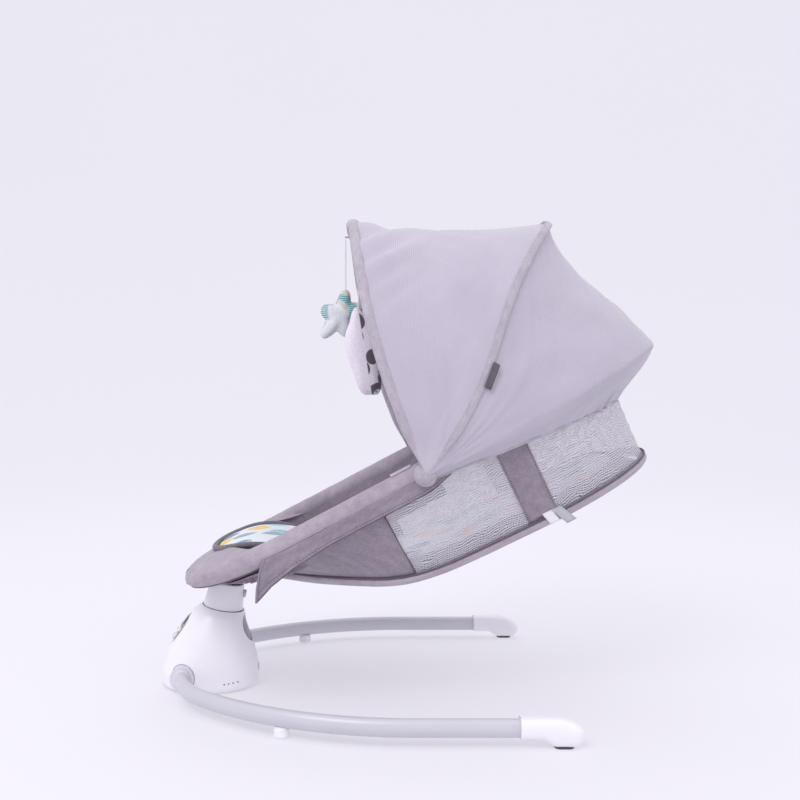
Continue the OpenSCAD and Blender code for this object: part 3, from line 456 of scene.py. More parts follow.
def lathe(name, profile, material, body, base, axis=(0, 0, 1), sides=48, caps=True):
    """profile is a list of (radius, height) along axis from base."""
    turn = Vector((0, 0, 1)).rotation_difference(Vector(axis).normalized())
    rows = []
    for r, h in profile:
        rows.append([Vector(base) + turn @ Vector((r * math.cos(2 * math.pi * j / sides),
                                                   r * math.sin(2 * math.pi * j / sides), h))
                     for j in range(sides)])
    return grid(name, rows, material, body, close_cols=True, caps=caps)


def thicken(piece, thickness, offset=0.0):
    modifier = piece.modifiers.new("thickness", "SOLIDIFY")
    modifier.thickness = thickness * MM
    modifier.offset = offset
    return piece


def apply_all(piece):
    graph = bpy.context.evaluated_depsgraph_get()
    final = bpy.data.meshes.new_from_object(piece.evaluated_get(graph))
    piece.modifiers.clear()
    piece.data = final
    return piece


def rough_noise(*p):
    return noise.noise(Vector(p))


def stitches(name, path, material, body, gap=6.2, size=3.6, radius=0.45):
    """A running stitch of short rounded threads laid along a path."""
    path = [Vector(p) for p in path]
    points, faces = [], []
    run = 0.0
    due = gap
    for a, b in zip(path, path[1:]):
        span = (b - a).length
        while due <= run + span and span > 0:
            centre = a.lerp(b, (due - run) / span)
            along = (b - a).normalized()
            side = along.orthogonal().normalized()
            top = along.cross(side)
            start = len(points)
            for s, r in ((-0.5, 0.35), (-0.3, 1.0), (0.3, 1.0), (0.5, 0.35)):
                for j in range(6):
                    angle = math.pi * j / 3
                    points.append(centre + along * (s * size)
                                  + (side * math.cos(angle) + top * math.sin(angle)) * radius * r)
            for i in range(3):
                for j in range(6):
                    k = (j + 1) % 6
                    faces.append((start + i * 6 + j, start + i * 6 + k,
                                  start + i * 6 + 6 + k, start + i * 6 + 6 + j))
            faces.append(tuple(start + j for j in reversed(range(6))))
            faces.append(tuple(start + 18 + j for j in range(6)))
            due += gap
        run += span
    return make(name, points, faces, material, body)


# ---- the swing's own lines, in the row frame ----
OX = -378.165
TOWER_L, TOWER_W, TOWER_H, TOWER_GAP = 146.0, 128.0, 118.4, 4.0
SEAM_X = 0.63 * TOWER_L
LEG_Z, LEG_HALF_SPAN, LEG_BEND, LEG_TURN = 25.0, 266.0, 441, 139
LEG_ROOT, LEG_STRAIGHT, PEG_X = OX + 40, OX + 381, OX + 205.6
RIM_L, RIM_W, FLOOR_W, DEPTH = 711.0, 364.0, 270.0, 150.0
SLOPE, LEAN = math.radians(27.8), math.radians(10)
FOOT = Vector((-325.16, 0, 165.98))
ALONG = Vector((math.cos(SLOPE), 0, math.sin(SLOPE)))
BELOW = Vector((math.sin(SLOPE), 0, -math.cos(SLOPE)))
SIDE = (0.281 * RIM_L, 0.754 * RIM_L)
FLOOR_FOOT, FLOOR_HEAD = 0.104 * RIM_L, RIM_L - 7
PIVOT = Vector((20.706, 0, 345.334))
PIVOT_P = 391.0
FRONT_HOOP = (385.0, math.radians(105.3), 17.0, 0.0, 202.0, 2.5)
REAR_HOOP = (398.0, SLOPE, 0.0, 0.0, 207.5, 3.0)
MID_HOOP = (419.0, math.radians(61.9), 0.0, -11.0, 213.0, 2.5)


def at_table(rows, key):
    return float(np.interp(key, [r[0] for r in rows], [r[1] for r in rows]))


def place(p, q, h):
    lift = 8 * (1 - p / 190) ** 2 if p < 190 else 0
    return FOOT + p * ALONG + Vector((0, q, 0)) + (h - lift) * BELOW


def plan(t, foot, head, w):
    """Along and across for angle t of an oval, from the head end round by +Y."""
    m = t % 360
    s = 1 if m <= 180 else -1
    u = m if m <= 180 else 360 - m
    e = 2 / 2.25
    if u < 72:
        a = math.radians(90 * u / 72)
        return (SIDE[1] + (head - SIDE[1]) * max(0, math.cos(a)) ** e,
                s * w / 2 * max(0, math.sin(a)) ** e)
    if u <= 108:
        return mix(SIDE[1], SIDE[0], (u - 72) / 36), s * w / 2
    a = math.radians(90 * (180 - u) / 72)
    return (SIDE[0] - (SIDE[0] - foot) * max(0, math.cos(a)) ** e,
            s * w / 2 * max(0, math.sin(a)) ** e)


def rim_point(t, inset=0.0, h=0.0):
    p, q = plan(t, inset, RIM_L - inset, RIM_W - 2 * inset)
    return place(p, q, h)


def depth_at(p):
    rows = [(0, .08), (.104, .093), (.176, .207), (.294, .573), (.398, .853), (.482, .94),
            (.563, .967), (.745, 1), (1, 1)]
    near = [at_table(rows, (p + d) / RIM_L) for d in (-24, -12, 0, 12, 24)]
    return sum(near) / 5 * DEPTH


def floor_point(t, inset=0.0, h=0.0):
    p, q = plan(t, FLOOR_FOOT + inset, FLOOR_HEAD - inset, FLOOR_W - 2 * inset)
    return place(p, q, depth_at(p) + h)


def floor_half(p, inset):
    c = 0.0
    if p < SIDE[0]:
        c = (SIDE[0] - p) / (SIDE[0] - FLOOR_FOOT - inset)
    elif p > SIDE[1]:
        c = (p - SIDE[1]) / (FLOOR_HEAD - SIDE[1] - inset)
    return (FLOOR_W / 2 - inset) * max(0, 1 - min(1, c) ** 2.25) ** (1 / 2.25)


def wall_point(t, v, out=0.0):
    """The bassinet wall, v from 0 at the rim to 1 at the bottom frame."""
    f = max(0, min(1, 1.6 - abs(t - 180) / 30))
    a = math.radians(90 * f * f * (3 - 2 * f))
    gx, gy = math.cos(a) * out, -math.sin(a) * out
    top = rim_point(t, 18 * math.sin(a) + gx, 18 * math.cos(a) + gy)
    low = floor_point(t, gx - 1, -7.5 + gy)
    return top.lerp(low, v)


def hoop_point(side, t, hoop, out=0.0):
    reach, angle, bow, wave, half, e = hoop
    n = Vector((-math.sin(angle), 0, math.cos(angle)))
    q = (half + out) * max(0, 1 - t ** e) ** (1 / e)
    return (PIVOT + (reach + out) * t * Vector((math.cos(angle), 0, math.sin(angle)))
            + (bow * math.sin(math.pi * t) + wave * math.sin(2 * math.pi * t)) * n
            + Vector((0, side * q, 0)))


def hoop_path(hoop, out=0.0, root=0.06, steps=56):
    """Points from the near pivot over the crown to the far one."""
    low = math.asin(root)
    turns = [mix(low, math.pi - low, i / steps) for i in range(steps + 1)]
    return [hoop_point(-1 if a <= math.pi / 2 else 1, math.sin(a), hoop, out) for a in turns]


# ---- seat ----
def build_rim():
    """The rim's padded roll: creased by gathers, with a piped seam along its outer lower side."""
    ts = [i * 2.0 for i in range(180)]
    path = [rim_point(t) for t in ts]

    def shape(i, a):
        t = ts[i]
        crease = 0.028 * rough_noise(t * 0.35, math.cos(a), math.sin(a))
        gather = 0.02 * math.sin(t * 3.1 + 1.4 * math.sin(t * 0.31)) * max(0, math.cos(a - 0.9))
        return 1.0 + crease + gather

    def size(i):
        slim = mix(0.76, 1.0, smooth_step((abs(ts[i] - 180) - 18) / 34))
        return 15.6 * slim, 15.4 * slim

    # The roll's cloth is painted lighter, as a painted highlight for light falling on its top.
    roll = tube("rim_roll", path, size, ROLL_PAINTED_HIGHLIGHT, "seat", closed=True, sides=40, shape=shape, up=-BELOW)
    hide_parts("rim_sleeve")
    seam = [rim_point(t, -0.56 * size(i)[0], 0.85 * size(i)[1]) for i, t in enumerate(ts)]
    tube("rim_piping", seam, 1.3, PIPING, "seat", closed=True, sides=8)


def outer_wall(t, v, out, wrinkle):
    """A point on the wall's outer face, pulled into soft folds between the rim and the floor."""
    belly = 5.0 * math.sin(math.pi * v) * (1 - abs(v - 0.5))
    fold = wrinkle * math.sin(math.pi * v) * (
        rough_noise(t * 0.13, v * 1.7, 3.1) + 0.5 * rough_noise(t * 0.5, v * 4.0, 7.7))
    return wall_point(t, v, out - belly * 0.4 + fold)


def build_sling():
    ts = [96 + 168 * i / 120 for i in range(121)]
    rows = [[outer_wall(t, v / 18, -0.6, 2.2) for t in ts] for v in range(19)]
    wall = grid("sling_wall", rows, HEATHER, "seat")
    thicken(wall, 1.6, 1.0)
    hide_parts("seat_sling")
    ps = [FLOOR_FOOT + 10 + 5.0 * i for i in range(45)]
    floor_rows = [[place(p, floor_half(p, 7) * v / 10,
                         depth_at(p) + 3.0 * (1 - (v / 10) ** 2) + 0.8 * rough_noise(p * .03, v * .4, 1))
                   for v in range(-10, 11)] for p in ps]
    floor = grid("sling_floor", floor_rows, HEATHER, "seat")
    thicken(floor, 1.6, 0.0)


def build_hood():
    """The fabric that rises from the foot of the rim up to the pad's end."""
    ts = [104 + 152 * i / 110 for i in range(111)]
    rows = []
    for j in range(21):
        v = j / 20
        row = []
        for t in ts:
            foot = smooth_step((76 - abs(t - 180)) / 44)
            over = smooth_step(v / 0.35)
            inner = max(0, (v - 0.30) / 0.70)
            inset = mix(mix(-16.2, -12.4, foot), mix(-2.0, 3.0, foot), over) + inner * mix(14, 44, foot)
            h = mix(3.0, -16.4, over) + inner ** 1.3 * mix(24.0, -8.0, foot)
            crease = 1.2 * rough_noise(t * 0.22, v * 2.0, 9.0) * math.sin(math.pi * v)
            row.append(rim_point(t, inset, h + crease))
        rows.append(row)
    # The hood takes the roll's cloth, painted lighter as a painted highlight for light from above.
    hood = grid("foot_hood", rows, ROLL_PAINTED_HIGHLIGHT, "seat")
    thicken(hood, 1.4, 1.0)


SKIRT = ((100, 56), (112, 52), (135, 41.5), (171, 32.5), (230, 27), (711, 26))


def build_skirts():
    """A valance below the roll on each side, which ends in a free corner beside the neck."""
    for side, name in ((-1, "near"), (1, "far")):
        rows = []
        for j in range(15):
            v = j / 14
            row = []
            for i in range(131):
                u = i / 130
                t = mix(80.5, mix(119.0, 128.0, v), u)
                free = smooth_step((u - 0.74) / 0.26)
                out = mix(15.8, 14.5, v) - 2.6 * smooth_step(v * 2) * (1 - free)
                pleat = 2.4 * math.sin(math.pi * min(1, v * 1.3)) * math.sin(
                    u * 58 + v * 5 + 2.6 * math.sin(u * 11)) * smooth_step((u - 0.66) / 0.25)
                soft = 1.5 * v * rough_noise(u * 14, v * 1.5, 5.0 + side)
                low = mix(10, at_table(SKIRT, plan(t, 0, RIM_L, RIM_W)[0]), smooth_step((t - 80) / 9))
                row.append(rim_point(t if side > 0 else 360 - t, -out + pleat + soft, mix(4.5, low, v)))
            rows.append(row)
        skirt = grid("skirt_" + name, rows, SKIRT_CLOTH, "seat")
        thicken(skirt, 1.8, 0.0)
        tube("skirt_edge_" + name, rows[-1], (1.3, 1.0), PIPING, "seat", sides=8)
        line = [a.lerp(b, 0.5) + Vector((0, side * 1.3, 0)) for a, b in zip(rows[11], rows[12])]
        stitches("skirt_stitches_" + name, line, PIPING, "seat", gap=5.0, size=3.2, radius=0.4)
        fold = [row[-1] for row in rows]
        tube("skirt_fold_" + name, fold, (3.6, 2.0), SKIRT_CLOTH, "seat", sides=12)
        build_inner_band(side, name)


def build_inner_band(side, name):
    """The solid cloth that hangs inside the rim, gathered towards the foot."""
    rows = []
    for j in range(13):
        v = j / 12
        row = []
        for i in range(141):
            t = mix(86.0, 150.0, i / 140)
            gathered = smooth_step((t - 104) / 12) * (1 - smooth_step((t - 128) / 12))
            pleat = (0.6 + 2.6 * gathered) * v * math.sin(t * 1.9 + 2 * math.sin(t * 0.23))
            low = mix(44, 20, smooth_step((t - 112) / 40))
            row.append(rim_point(t if side > 0 else 360 - t, 13.6 + 5 * v + pleat, mix(2.0, low, v)))
        rows.append(row)
    band = grid("inner_band_" + name, rows, HEATHER, "seat")
    thicken(band, 1.4, 0.0)


def build_side_mesh():
    ts = [-95.8 + 191.6 * i / 240 for i in range(241)]
    rows = []
    for j in range(25):
        v = j / 24
        row = []
        for t in ts:
            phase = v * 40 + 2.2 * math.sin(t * 0.21) + t * 0.05
            ruffle = 1.3 * math.sin(phase) * math.sin(math.pi * v) ** 0.5
            sag = 2.4 * rough_noise(t * 0.09, v * 2.2, 2.0) * math.sin(math.pi * v)
            row.append(wall_point(t, v, -0.4 + 0.5 * (ruffle + sag)))
        rows.append(row)
    mesh = grid("side_mesh_cloth", rows, SIDE_NET, "seat")
    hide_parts("side_mesh")
    for t in (96.0, -96.0):
        path = [wall_point(t, v / 16, -1.4) for v in range(17)]
        tube("mesh_binding_" + ("far" if t > 0 else "near"), path, (2.2, 1.0), PIPING, "seat", sides=8)


def build_floor_roll():
    ts = [i * 2.0 for i in range(180)]
    path = [floor_point(t) for t in ts]

    def shape(i, a):
        return 1.0 + 0.03 * rough_noise(ts[i] * 0.4, math.cos(a), math.sin(a))

    roll = tube("floor_roll", path, (6.6, 6.4), PALE_BAND, "seat", closed=True, sides=24, shape=shape,
                up=-BELOW)
    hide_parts("bottom_frame")
    seam = [floor_point(t, -5.6, -5.4) for t in ts]
    tube("floor_piping", seam, 1.5, PIPING, "seat", closed=True, sides=8)


def build_board():
    ps = [300 + 7.0 * i for i in range(56)]
    rows = []
    for p in ps:
        half = max(6, floor_half(p, 8.5))
        row = []
        for j in range(24):
            a = 2 * math.pi * j / 24
            c, s = math.cos(a), math.sin(a)
            q = half * signed_power(c, 0.35)
            row.append(place(p, q, depth_at(p) + 2.9 * signed_power(s, 0.8)))
        rows.append(row)
    board = grid("board_cover", rows, HEATHER, "seat", close_cols=True, caps=True)
    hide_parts("bottom_board")


LINER_GAP = ((62, 25), (90, 26), (114, 29), (140, 28), (183, 24), (212, 11), (228, 7.5), (711, 7.5))
PAD = (50.0, 664.0)


def liner_half(p):
    u, length = p - PAD[0], PAD[1] - PAD[0]
    c = 1 - u / 78 if u < 78 else (u - length + 90) / 90 if u > length - 90 else 0
    full = FLOOR_W / 2 + mix(-31, -23, u / length)
    return full * max(0, 1 - min(1, c) ** 2.2) ** (1 / 2.2)


def liner_level(p):
    gap = sum(at_table(LINER_GAP, p + d) for d in (-18, -9, 0, 9, 18)) / 5
    return depth_at(p) - 9 - gap


def pad_rows(inflate):
    length = PAD[1] - PAD[0]
    rows = []
    for i in range(97):
        u = (1 - math.cos(math.pi * i / 96)) / 2
        p = PAD[0] + length * mix(u, i / 96, 0.55)
        half = max(1.5, liner_half(p))
        thick = 8.6 * min(1, (half / 60) ** 0.5) * inflate
        row = []
        for j in range(44):
            a = 2 * math.pi * j / 44
            c, s = math.cos(a), math.sin(a)
            q = half * signed_power(c, 0.55)
            row.append(place(p, q, liner_level(p) - 3 * abs(q) / 100 - thick * signed_power(s, 0.75)))
        rows.append(row)
    return rows


def inflate_cloth(piece, voxel, pressure, limit, frames=18):
    """Blows the shape up a little as a stitched cloth bag and keeps the result's creases."""
    remesh = piece.modifiers.new("even", "REMESH")
    remesh.mode = "VOXEL"
    remesh.voxel_size = voxel * MM
    apply_all(piece)
    start = np.array([v.co for v in piece.data.vertices], float)
    cloth = piece.modifiers.new("cloth", "CLOTH")
    cloth.settings.quality = 5
    cloth.settings.mass = 0.2
    cloth.settings.tension_stiffness = 18
    cloth.settings.compression_stiffness = 18
    cloth.settings.bending_stiffness = 0.4
    cloth.settings.shrink_min = -0.02
    cloth.settings.use_pressure = True
    cloth.settings.uniform_pressure_force = pressure
    cloth.settings.effector_weights.gravity = 0
    cloth.point_cache.frame_start = 1
    cloth.point_cache.frame_end = frames
    for frame_number in range(1, frames + 1):
        bpy.context.scene.frame_set(frame_number)
    apply_all(piece)
    bpy.context.scene.frame_set(1)
    end = np.array([v.co for v in piece.data.vertices], float)
    if len(end) == len(start):
        step = end - start
        size = np.linalg.norm(step, axis=1, keepdims=True)
        step *= np.minimum(1, limit * MM / np.maximum(size, 1e-9))
        piece.data.vertices.foreach_set("co", (start + step).ravel())
    smooth = piece.modifiers.new("smooth", "SUBSURF")
    smooth.levels = smooth.render_levels = 1
    apply_all(piece)
    shade_smooth(piece.data)
    return piece


def build_liner():
    rows = pad_rows(0.92)
    pad = grid("liner_cushion", rows, LEAVES, None, close_cols=True, caps=True)
    inflate_cloth(pad, 5.5, 5.0, 3.2)
    for vertex in pad.data.vertices:
        p = (vertex.co / MM - FOOT).dot(ALONG)
        q = vertex.co.y / MM
        crease = math.exp(-((p - 262 - 0.0006 * q * q) / 5) ** 2) + math.exp(-((p - 420) / 5) ** 2)
        vertex.co += BELOW * (2.4 * MM * crease * smooth_step((95 - abs(q)) / 20))
    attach(pad, "seat")
    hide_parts("liner_pad")
    outline = []
    for side, edge in ((1, pad_edge()), (-1, pad_edge()[::-1])):
        for p in edge:
            raised = 3 + 4 * smooth_step((190 - p) / 60)
            outline.append(place(p, side * (liner_half(p) + 2), liner_level(p) - raised))
    tube("liner_piping", outline, (4.2, 4.4), PAD_EDGE, "seat", closed=True, sides=14, up=-BELOW)


def pad_edge():
    length = PAD[1] - PAD[0]
    return [PAD[0] + length * (1 - math.cos(math.pi * i / 90)) / 2 for i in range(91)]


# ---- harness ----
CROTCH_P = 0.352 * RIM_L


def seat_top(p):
    return liner_level(p) - 9 - 2.5


def face(p, q, up):
    return place(p, q, seat_top(p) - up)


def ribbon(name, middle, across_of, width, thick, material, body, ridges=3):
    """A flat woven strap along a path, its thickness rippled across its width."""
    rows = []
    for i, point in enumerate(middle):
        side, up = across_of(i)
        row = []
        for j in range(24):
            a = 2 * math.pi * j / 24
            c, s = math.cos(a), math.sin(a)
            w = width / 2 * signed_power(c, 0.4)
            h = thick / 2 * signed_power(s, 0.5) * (1 + 0.12 * math.cos(ridges * math.pi * w / width))
            row.append(Vector(point) + side * w + up * h)
        rows.append(row)
    return grid(name, rows, material, body, close_cols=True, caps=True)


def build_harness():
    up = -BELOW
    ps = [mix(CROTCH_P - 52, CROTCH_P - 9, i / 20) for i in range(21)]
    path = [face(p, 0, 2.6) for p in ps]
    ribbon("crotch_strap", path, lambda i: (Vector((0, 1, 0)), up), 22, 2.2, WEBBING, "seat")
    for side in (-1, 1):
        qs = [side * mix(20, 90, i / 24) for i in range(25)]
        path = [face(CROTCH_P, q, 2.6 + 0.8 * math.sin(abs(q) * 0.09)) for q in qs]
        ribbon("waist_strap_" + side_name(side), path,
                             lambda i: (ALONG, up), 19, 2.2, WEBBING, "seat")
        stitches("waist_stitches_" + side_name(side),
                 [p + up * 1.4 + ALONG * 7 for p in path], TAPE, "seat", gap=4.6, size=3.0, radius=0.35)
    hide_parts("harness_straps")


# ---- canopy ----
def fan_blend(piece):
    """Bakes the piece's placement into its mesh."""
    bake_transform(piece)


def net_point(hoops, i, side, t):
    """i runs from 0 at the first hoop to 1 at the second; the net sags between them."""
    first, second = hoops
    a, b = hoop_point(side, t, first, wrap(t, first)), hoop_point(side, t, second, wrap(t, second))
    point = a.lerp(b, i)
    inward = (PIVOT - point)
    inward.y = -point.y * 0.6
    inward.normalize()
    crown = smooth_step((t - 0.1) / 0.5)
    return point, inward, crown


def hoop_share(k, count):
    """Side and distance along every hoop for column k of a net, from the near pivot to the far one."""
    t = mix(-87.2, 87.2, k / count)
    p, _ = plan(t, 0, RIM_L, RIM_W)
    share = (p - PIVOT_P) / (RIM_L - PIVOT_P)
    return t, p, 1 if t >= 0 else -1, max(0.0, min(1.0, share))


HINGE_Y = 223.0


def wrap(t, hoop):
    """How far the nets stand off a hoop: more at the hinge, where they all cover its cap."""
    return 4.4 + (HINGE_Y - hoop[4] - 4.4) * (1 - smooth_step(t / 0.11))


def gore_rows(hoops, steps, count, seed, shape):
    """Rows of a net between two hoops; shape(i, crown) is how far it stands in from the chord."""
    rows = []
    for r in range(steps + 1):
        i = r / steps
        row = []
        for k in range(count + 1):
            angle, _, side, t = hoop_share(k, count)
            point, inward, crown = net_point(hoops, i, side, t)
            middle = 4 * i * (1 - i)
            a = math.radians(angle)
            fold = rough_noise(a * 3.0 + i * 1.4, i * 2.4, seed) * 6.0
            fine = rough_noise(a * 8.0 - i * 7.0, i * 2.2, seed + 4) * 2.0
            creases = middle * (fold * crown + fine) * smooth_step(t / 0.2)
            row.append(point + inward * (shape(i, t) * crown + creases))
        rows.append(row)
    return rows


def build_front_gore():
    def shape(i, t):
        pull = math.exp(-((t - 0.9) / 0.2) ** 2) * math.exp(-((i - 0.86) / 0.16) ** 2)
        ray = 5.0 * pull * math.sin((t - 1) * 60 + i * 26)
        return 48 * i * (1 - i) * t + ray

    rows = gore_rows((MID_HOOP, FRONT_HOOP), 40, 220, 1.0, shape)
    gore = grid("front_gore", rows, NET, None)
    fan_blend(gore)
    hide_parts("front_net")


def build_rear_gore():
    """One sheet: from the gathered hem, over the rim's roll and the rear hoop, up to the middle hoop."""
    count = 300
    drape = []
    for j in range(27):
        v = j / 26
        row = []
        for k in range(count + 1):
            t, p, side, share = hoop_share(k, count)
            top = hoop_point(side, share, REAR_HOOP, wrap(share, REAR_HOOP))
            low = hem_height(p)
            hem = rim_point(t, mix(-17.5, 0.5, smooth_step((low - 13) / 34)), low)
            end_on = smooth_step((62 - abs(t)) / 62)
            point = top.lerp(hem, v)
            outward = Vector((math.cos(math.radians(t)), math.sin(math.radians(t)), 0))
            opened = smooth_step(share / 0.15)
            bulge = ((4.0 + 4.0 * end_on) * math.sin(math.pi * min(1, v * 1.25)) * (1 - 0.5 * v)
                     - 2.2 * end_on * (1 - v))
            gather = smooth_step((v - 0.35) / 0.65) * (
                1.3 * math.sin(t * 0.9 + 2.2 * math.sin(t * 0.13))
                + 2.2 * rough_noise(t * 0.16, v * 1.2, 4.0)) * (1 - 0.6 * end_on)
            pinch = 6.0 * smooth_step((v - 0.42) / 0.58) * (
                math.exp(-((t + 43) / 1.5) ** 2) - math.exp(-((t + 40.5) / 1.2) ** 2)
                + math.exp(-((t + 38) / 1.2) ** 2) - math.exp(-((t + 35.5) / 1.2) ** 2)
                + 0.6 * math.exp(-((t + 26) / 2.0) ** 2) - 0.5 * math.exp(-((t + 20) / 2.2) ** 2)
                + math.exp(-((t - 44) / 1.6) ** 2) - math.exp(-((t - 40.5) / 1.4) ** 2)
                + 0.7 * math.exp(-((t - 30) / 2.0) ** 2))
            soft = 2.2 * rough_noise(t * 0.06, v * 2.0, 8.0) * math.sin(math.pi * v)
            row.append(point + outward * ((bulge + gather + soft + pinch) * opened))
        drape.append(row)

    def shape(i, t):
        return 100 * i ** 2.3 * (1 - i) ** 0.8 * t ** 1.5

    gore = gore_rows((REAR_HOOP, MID_HOOP), 40, count, 5.0, shape)
    rows = list(reversed(drape)) + gore[1:]
    sheet = grid("rear_gore", rows, NET, None)
    fan_blend(sheet)
    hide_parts("rear_net")
    tube("drape_hem", rows[0], (1.5, 1.8), TRIM, "seat", sides=8)


def flat_trim(name, hoop, out, width, thick, material, body):
    """A fabric band folded over a hoop, which narrows and stands off where it covers the hinge."""
    turns = [math.pi * i / 140 for i in range(141)]
    path = []
    for a in turns:
        t = math.sin(a)
        path.append(hoop_point(-1 if a <= math.pi / 2 else 1, t, hoop, out + wrap(t, hoop) - 4.4))

    def size(i):
        slim = mix(0.24, 1.0, smooth_step((math.sin(turns[i]) - 0.03) / 0.15))
        lobe = 1 + 0.35 * smooth_step((math.sin(turns[i]) - 0.975) / 0.025)
        return thick * slim * lobe, width * slim * lobe

    def shape(i, a):
        return 1 + 0.05 * rough_noise(i * 0.12, math.cos(a), math.sin(a))

    n = Vector((-math.sin(hoop[1]), 0, math.cos(hoop[1])))
    return tube(name, path, size, material, body, sides=24, shape=shape, up=n)


def hem_height(p):
    return 12 + max(0, p - 395) * 0.117


def build_canopy():
    build_front_gore()
    build_rear_gore()
    flat_trim("front_trim", FRONT_HOOP, 1.6, 7.6, 6.0, TRIM, "canopy_front")
    flat_trim("middle_trim", MID_HOOP, 3.8, 5.8, 2.4, TRIM, "canopy_middle")
    n = Vector((-math.sin(MID_HOOP[1]), 0, math.cos(MID_HOOP[1])))
    for offset in (-4.4, 4.4):
        line = [p + n * offset for p in hoop_path(MID_HOOP, 5.6, 0.1, 90)]
        name = "middle_stitches" + ("_a" if offset > 0 else "_b")
        stitches(name, line, TRIM, "canopy_middle", 4.2, 2.8, 0.35)
    build_tag()
    profile = [(16.0, 0.0), (16.4, 2.0), (16.0, 6.0), (14.6, 13.0), (12.4, 18.5), (9.0, 22.3), (4.6, 24.4),
               (0.4, 25.0)]
    for side in (-1, 1):
        cover = lathe("hinge_cover_" + side_name(side), profile, TRIM, "seat",
                      PIVOT + Vector((0, side * 198.2, 0)), (0, side, 0), 64)


def build_tag():
    """A small blank loop label sewn under the middle trim on the near side."""
    rows = []
    for j in range(9):
        t = mix(0.335, 0.42, j / 8)
        row = []
        for i in range(7):
            base = hoop_point(-1, t, MID_HOOP, 7.2)
            n = Vector((-math.sin(MID_HOOP[1]), 0, math.cos(MID_HOOP[1])))
            row.append(base - n * (3 + 10 * i / 6) + Vector((0, 1.2 * (i / 6) ** 2 - 0.6, 0)))
        rows.append(row)
    tag = grid("canopy_tag", rows, PIPING, "canopy_middle")
    thicken(tag, 0.8, 0.0)


# ---- wall straps and tabs ----
def side_at(p, v, out):
    top = place(p, RIM_W / 2 + out, 18)
    low = place(p, FLOOR_W / 2 + 1 + out, depth_at(p) - 7.5)
    return top.lerp(low, v)


def build_straps():
    for side in (-1, 1):
        name = side_name(side)
        rows = []
        for j in range(25):
            v = j / 24
            row = []
            for i in range(13):
                p = mix(SIDE[1] - 47, SIDE[1] - 1, i / 12)
                low_fold = 0.5 * math.sin(v * 30 + i * 0.3) * smooth_step(v * 2 - 1)
                fold = 1.3 * rough_noise(i * 0.3, v * 5, side) + low_fold
                point = side_at(p, v, 1.6 + fold)
                point.y *= side
                row.append(point)
            rows.append(row)
        strap = grid("wall_strap_" + name, rows, HEATHER, "seat")
        thicken(strap, 1.4, 0.0)
        for i in (0.6, 11.4):
            line = [side_at(mix(SIDE[1] - 47, SIDE[1] - 1, i / 12), v / 20, 3.0) for v in range(21)]
            line = [Vector((q.x, q.y * side, q.z)) for q in line]
            stitches(f"strap_stitches_{name}_{'a' if i < 1 else 'b'}", line, PIPING, "seat", 5.0, 3.2, 0.35)
        build_tabs(side, name)
    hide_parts("wall_straps")


def build_tabs(side, name):
    """A white tape loop and a grey care label, hanging below the strap."""
    kinds = (("tape", -25, -10, 18, TAPE, 4), ("label", -11, 4, 27, PALE_LABEL, 12))
    for label, p0, p1, drop, material, lean in kinds:
        rows = []
        for j in range(9):
            v = j / 8
            row = []
            for i in range(5):
                p = SIDE[1] + mix(p0, p1, i / 4) + lean * v
                base = place(p, FLOOR_W / 2 + 5.5, depth_at(p) - 13)
                base += Vector((0, 3.0 * math.sin(2.2 * v), 0)) + BELOW * (drop * v)
                base.y = base.y * side
                row.append(base)
            rows.append(row)
        tab = grid(f"{label}_{name}", rows, material, "seat")
        thicken(tab, 0.9, 0.0)


def build_rim_tab():
    """The small see-through tab on the roll beside the canopy's hinge."""
    rows = []
    for j in range(9):
        lean = mix(-0.35, 1.25, j / 8)
        q, h = -RIM_W / 2 + 16.9 * math.sin(lean), -16.9 * math.cos(lean) - 4 * j / 8
        rows.append([place(mix(346, 378, i / 8), q, h) for i in range(9)])
    tab = grid("rim_tab", rows, SIDE_NET, "seat")
    thicken(tab, 0.8, 0.0)


# ---- toys ----
STAR_HOOK = Vector((-94.134, 54.076, 708.407))
CLOUD_HOOK = Vector((-72.134, -54.076, 708.407))


def plush_body(name, outline, centre, thick, material, body, node, hook, drop):
    """A stuffed toy sewn from two outlines, hanging on a cord."""
    count = len(outline)
    rings = []
    for share, depth in ((0.16, 1.0), (0.45, 0.94), (0.72, 0.76), (0.9, 0.45), (1.0, 0.0)):
        rings.append([Vector((x * share, -thick / 2 * depth, z * share)) for x, z in outline])
    points = [centre + p for ring in rings for p in ring]
    points += [centre + Vector((p.x, -p.y, p.z)) for ring in rings[:-1] for p in ring]
    points += [centre + Vector((0, -thick / 2, 0)), centre + Vector((0, thick / 2, 0))]
    front, back = len(points) - 2, len(points) - 1
    faces = []
    for i in range(4):
        for j in range(count):
            k = (j + 1) % count
            faces.append((i * count + j, i * count + k, (i + 1) * count + k, (i + 1) * count + j))
            upper = 5 * count + i * count
            lower = 5 * count + (i + 1) * count if i < 3 else 4 * count
            faces.append((upper + k, upper + j, lower + j, lower + k))
    for j in range(count):
        k = (j + 1) % count
        faces.append((j, front, k))
        faces.append((5 * count + k, back, 5 * count + j))
    toy = make(name, points, faces, material, None)
    inflate_cloth(toy, 3.0, 6.0, 3.0, 14)
    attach(toy, body)
    seam = [centre + Vector((x * 0.985, 0, z * 0.985)) for x, z in outline]
    tube(name + "_seam", seam, 0.9, material, body, closed=True, sides=8)
    end = hook - Vector((0, 0, drop))
    path = [hook.lerp(end, i / 24) for i in range(25)]
    line = tube(name + "_cord", path, 1.0, TAPE, body, sides=10)
    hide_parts(node)
    return toy


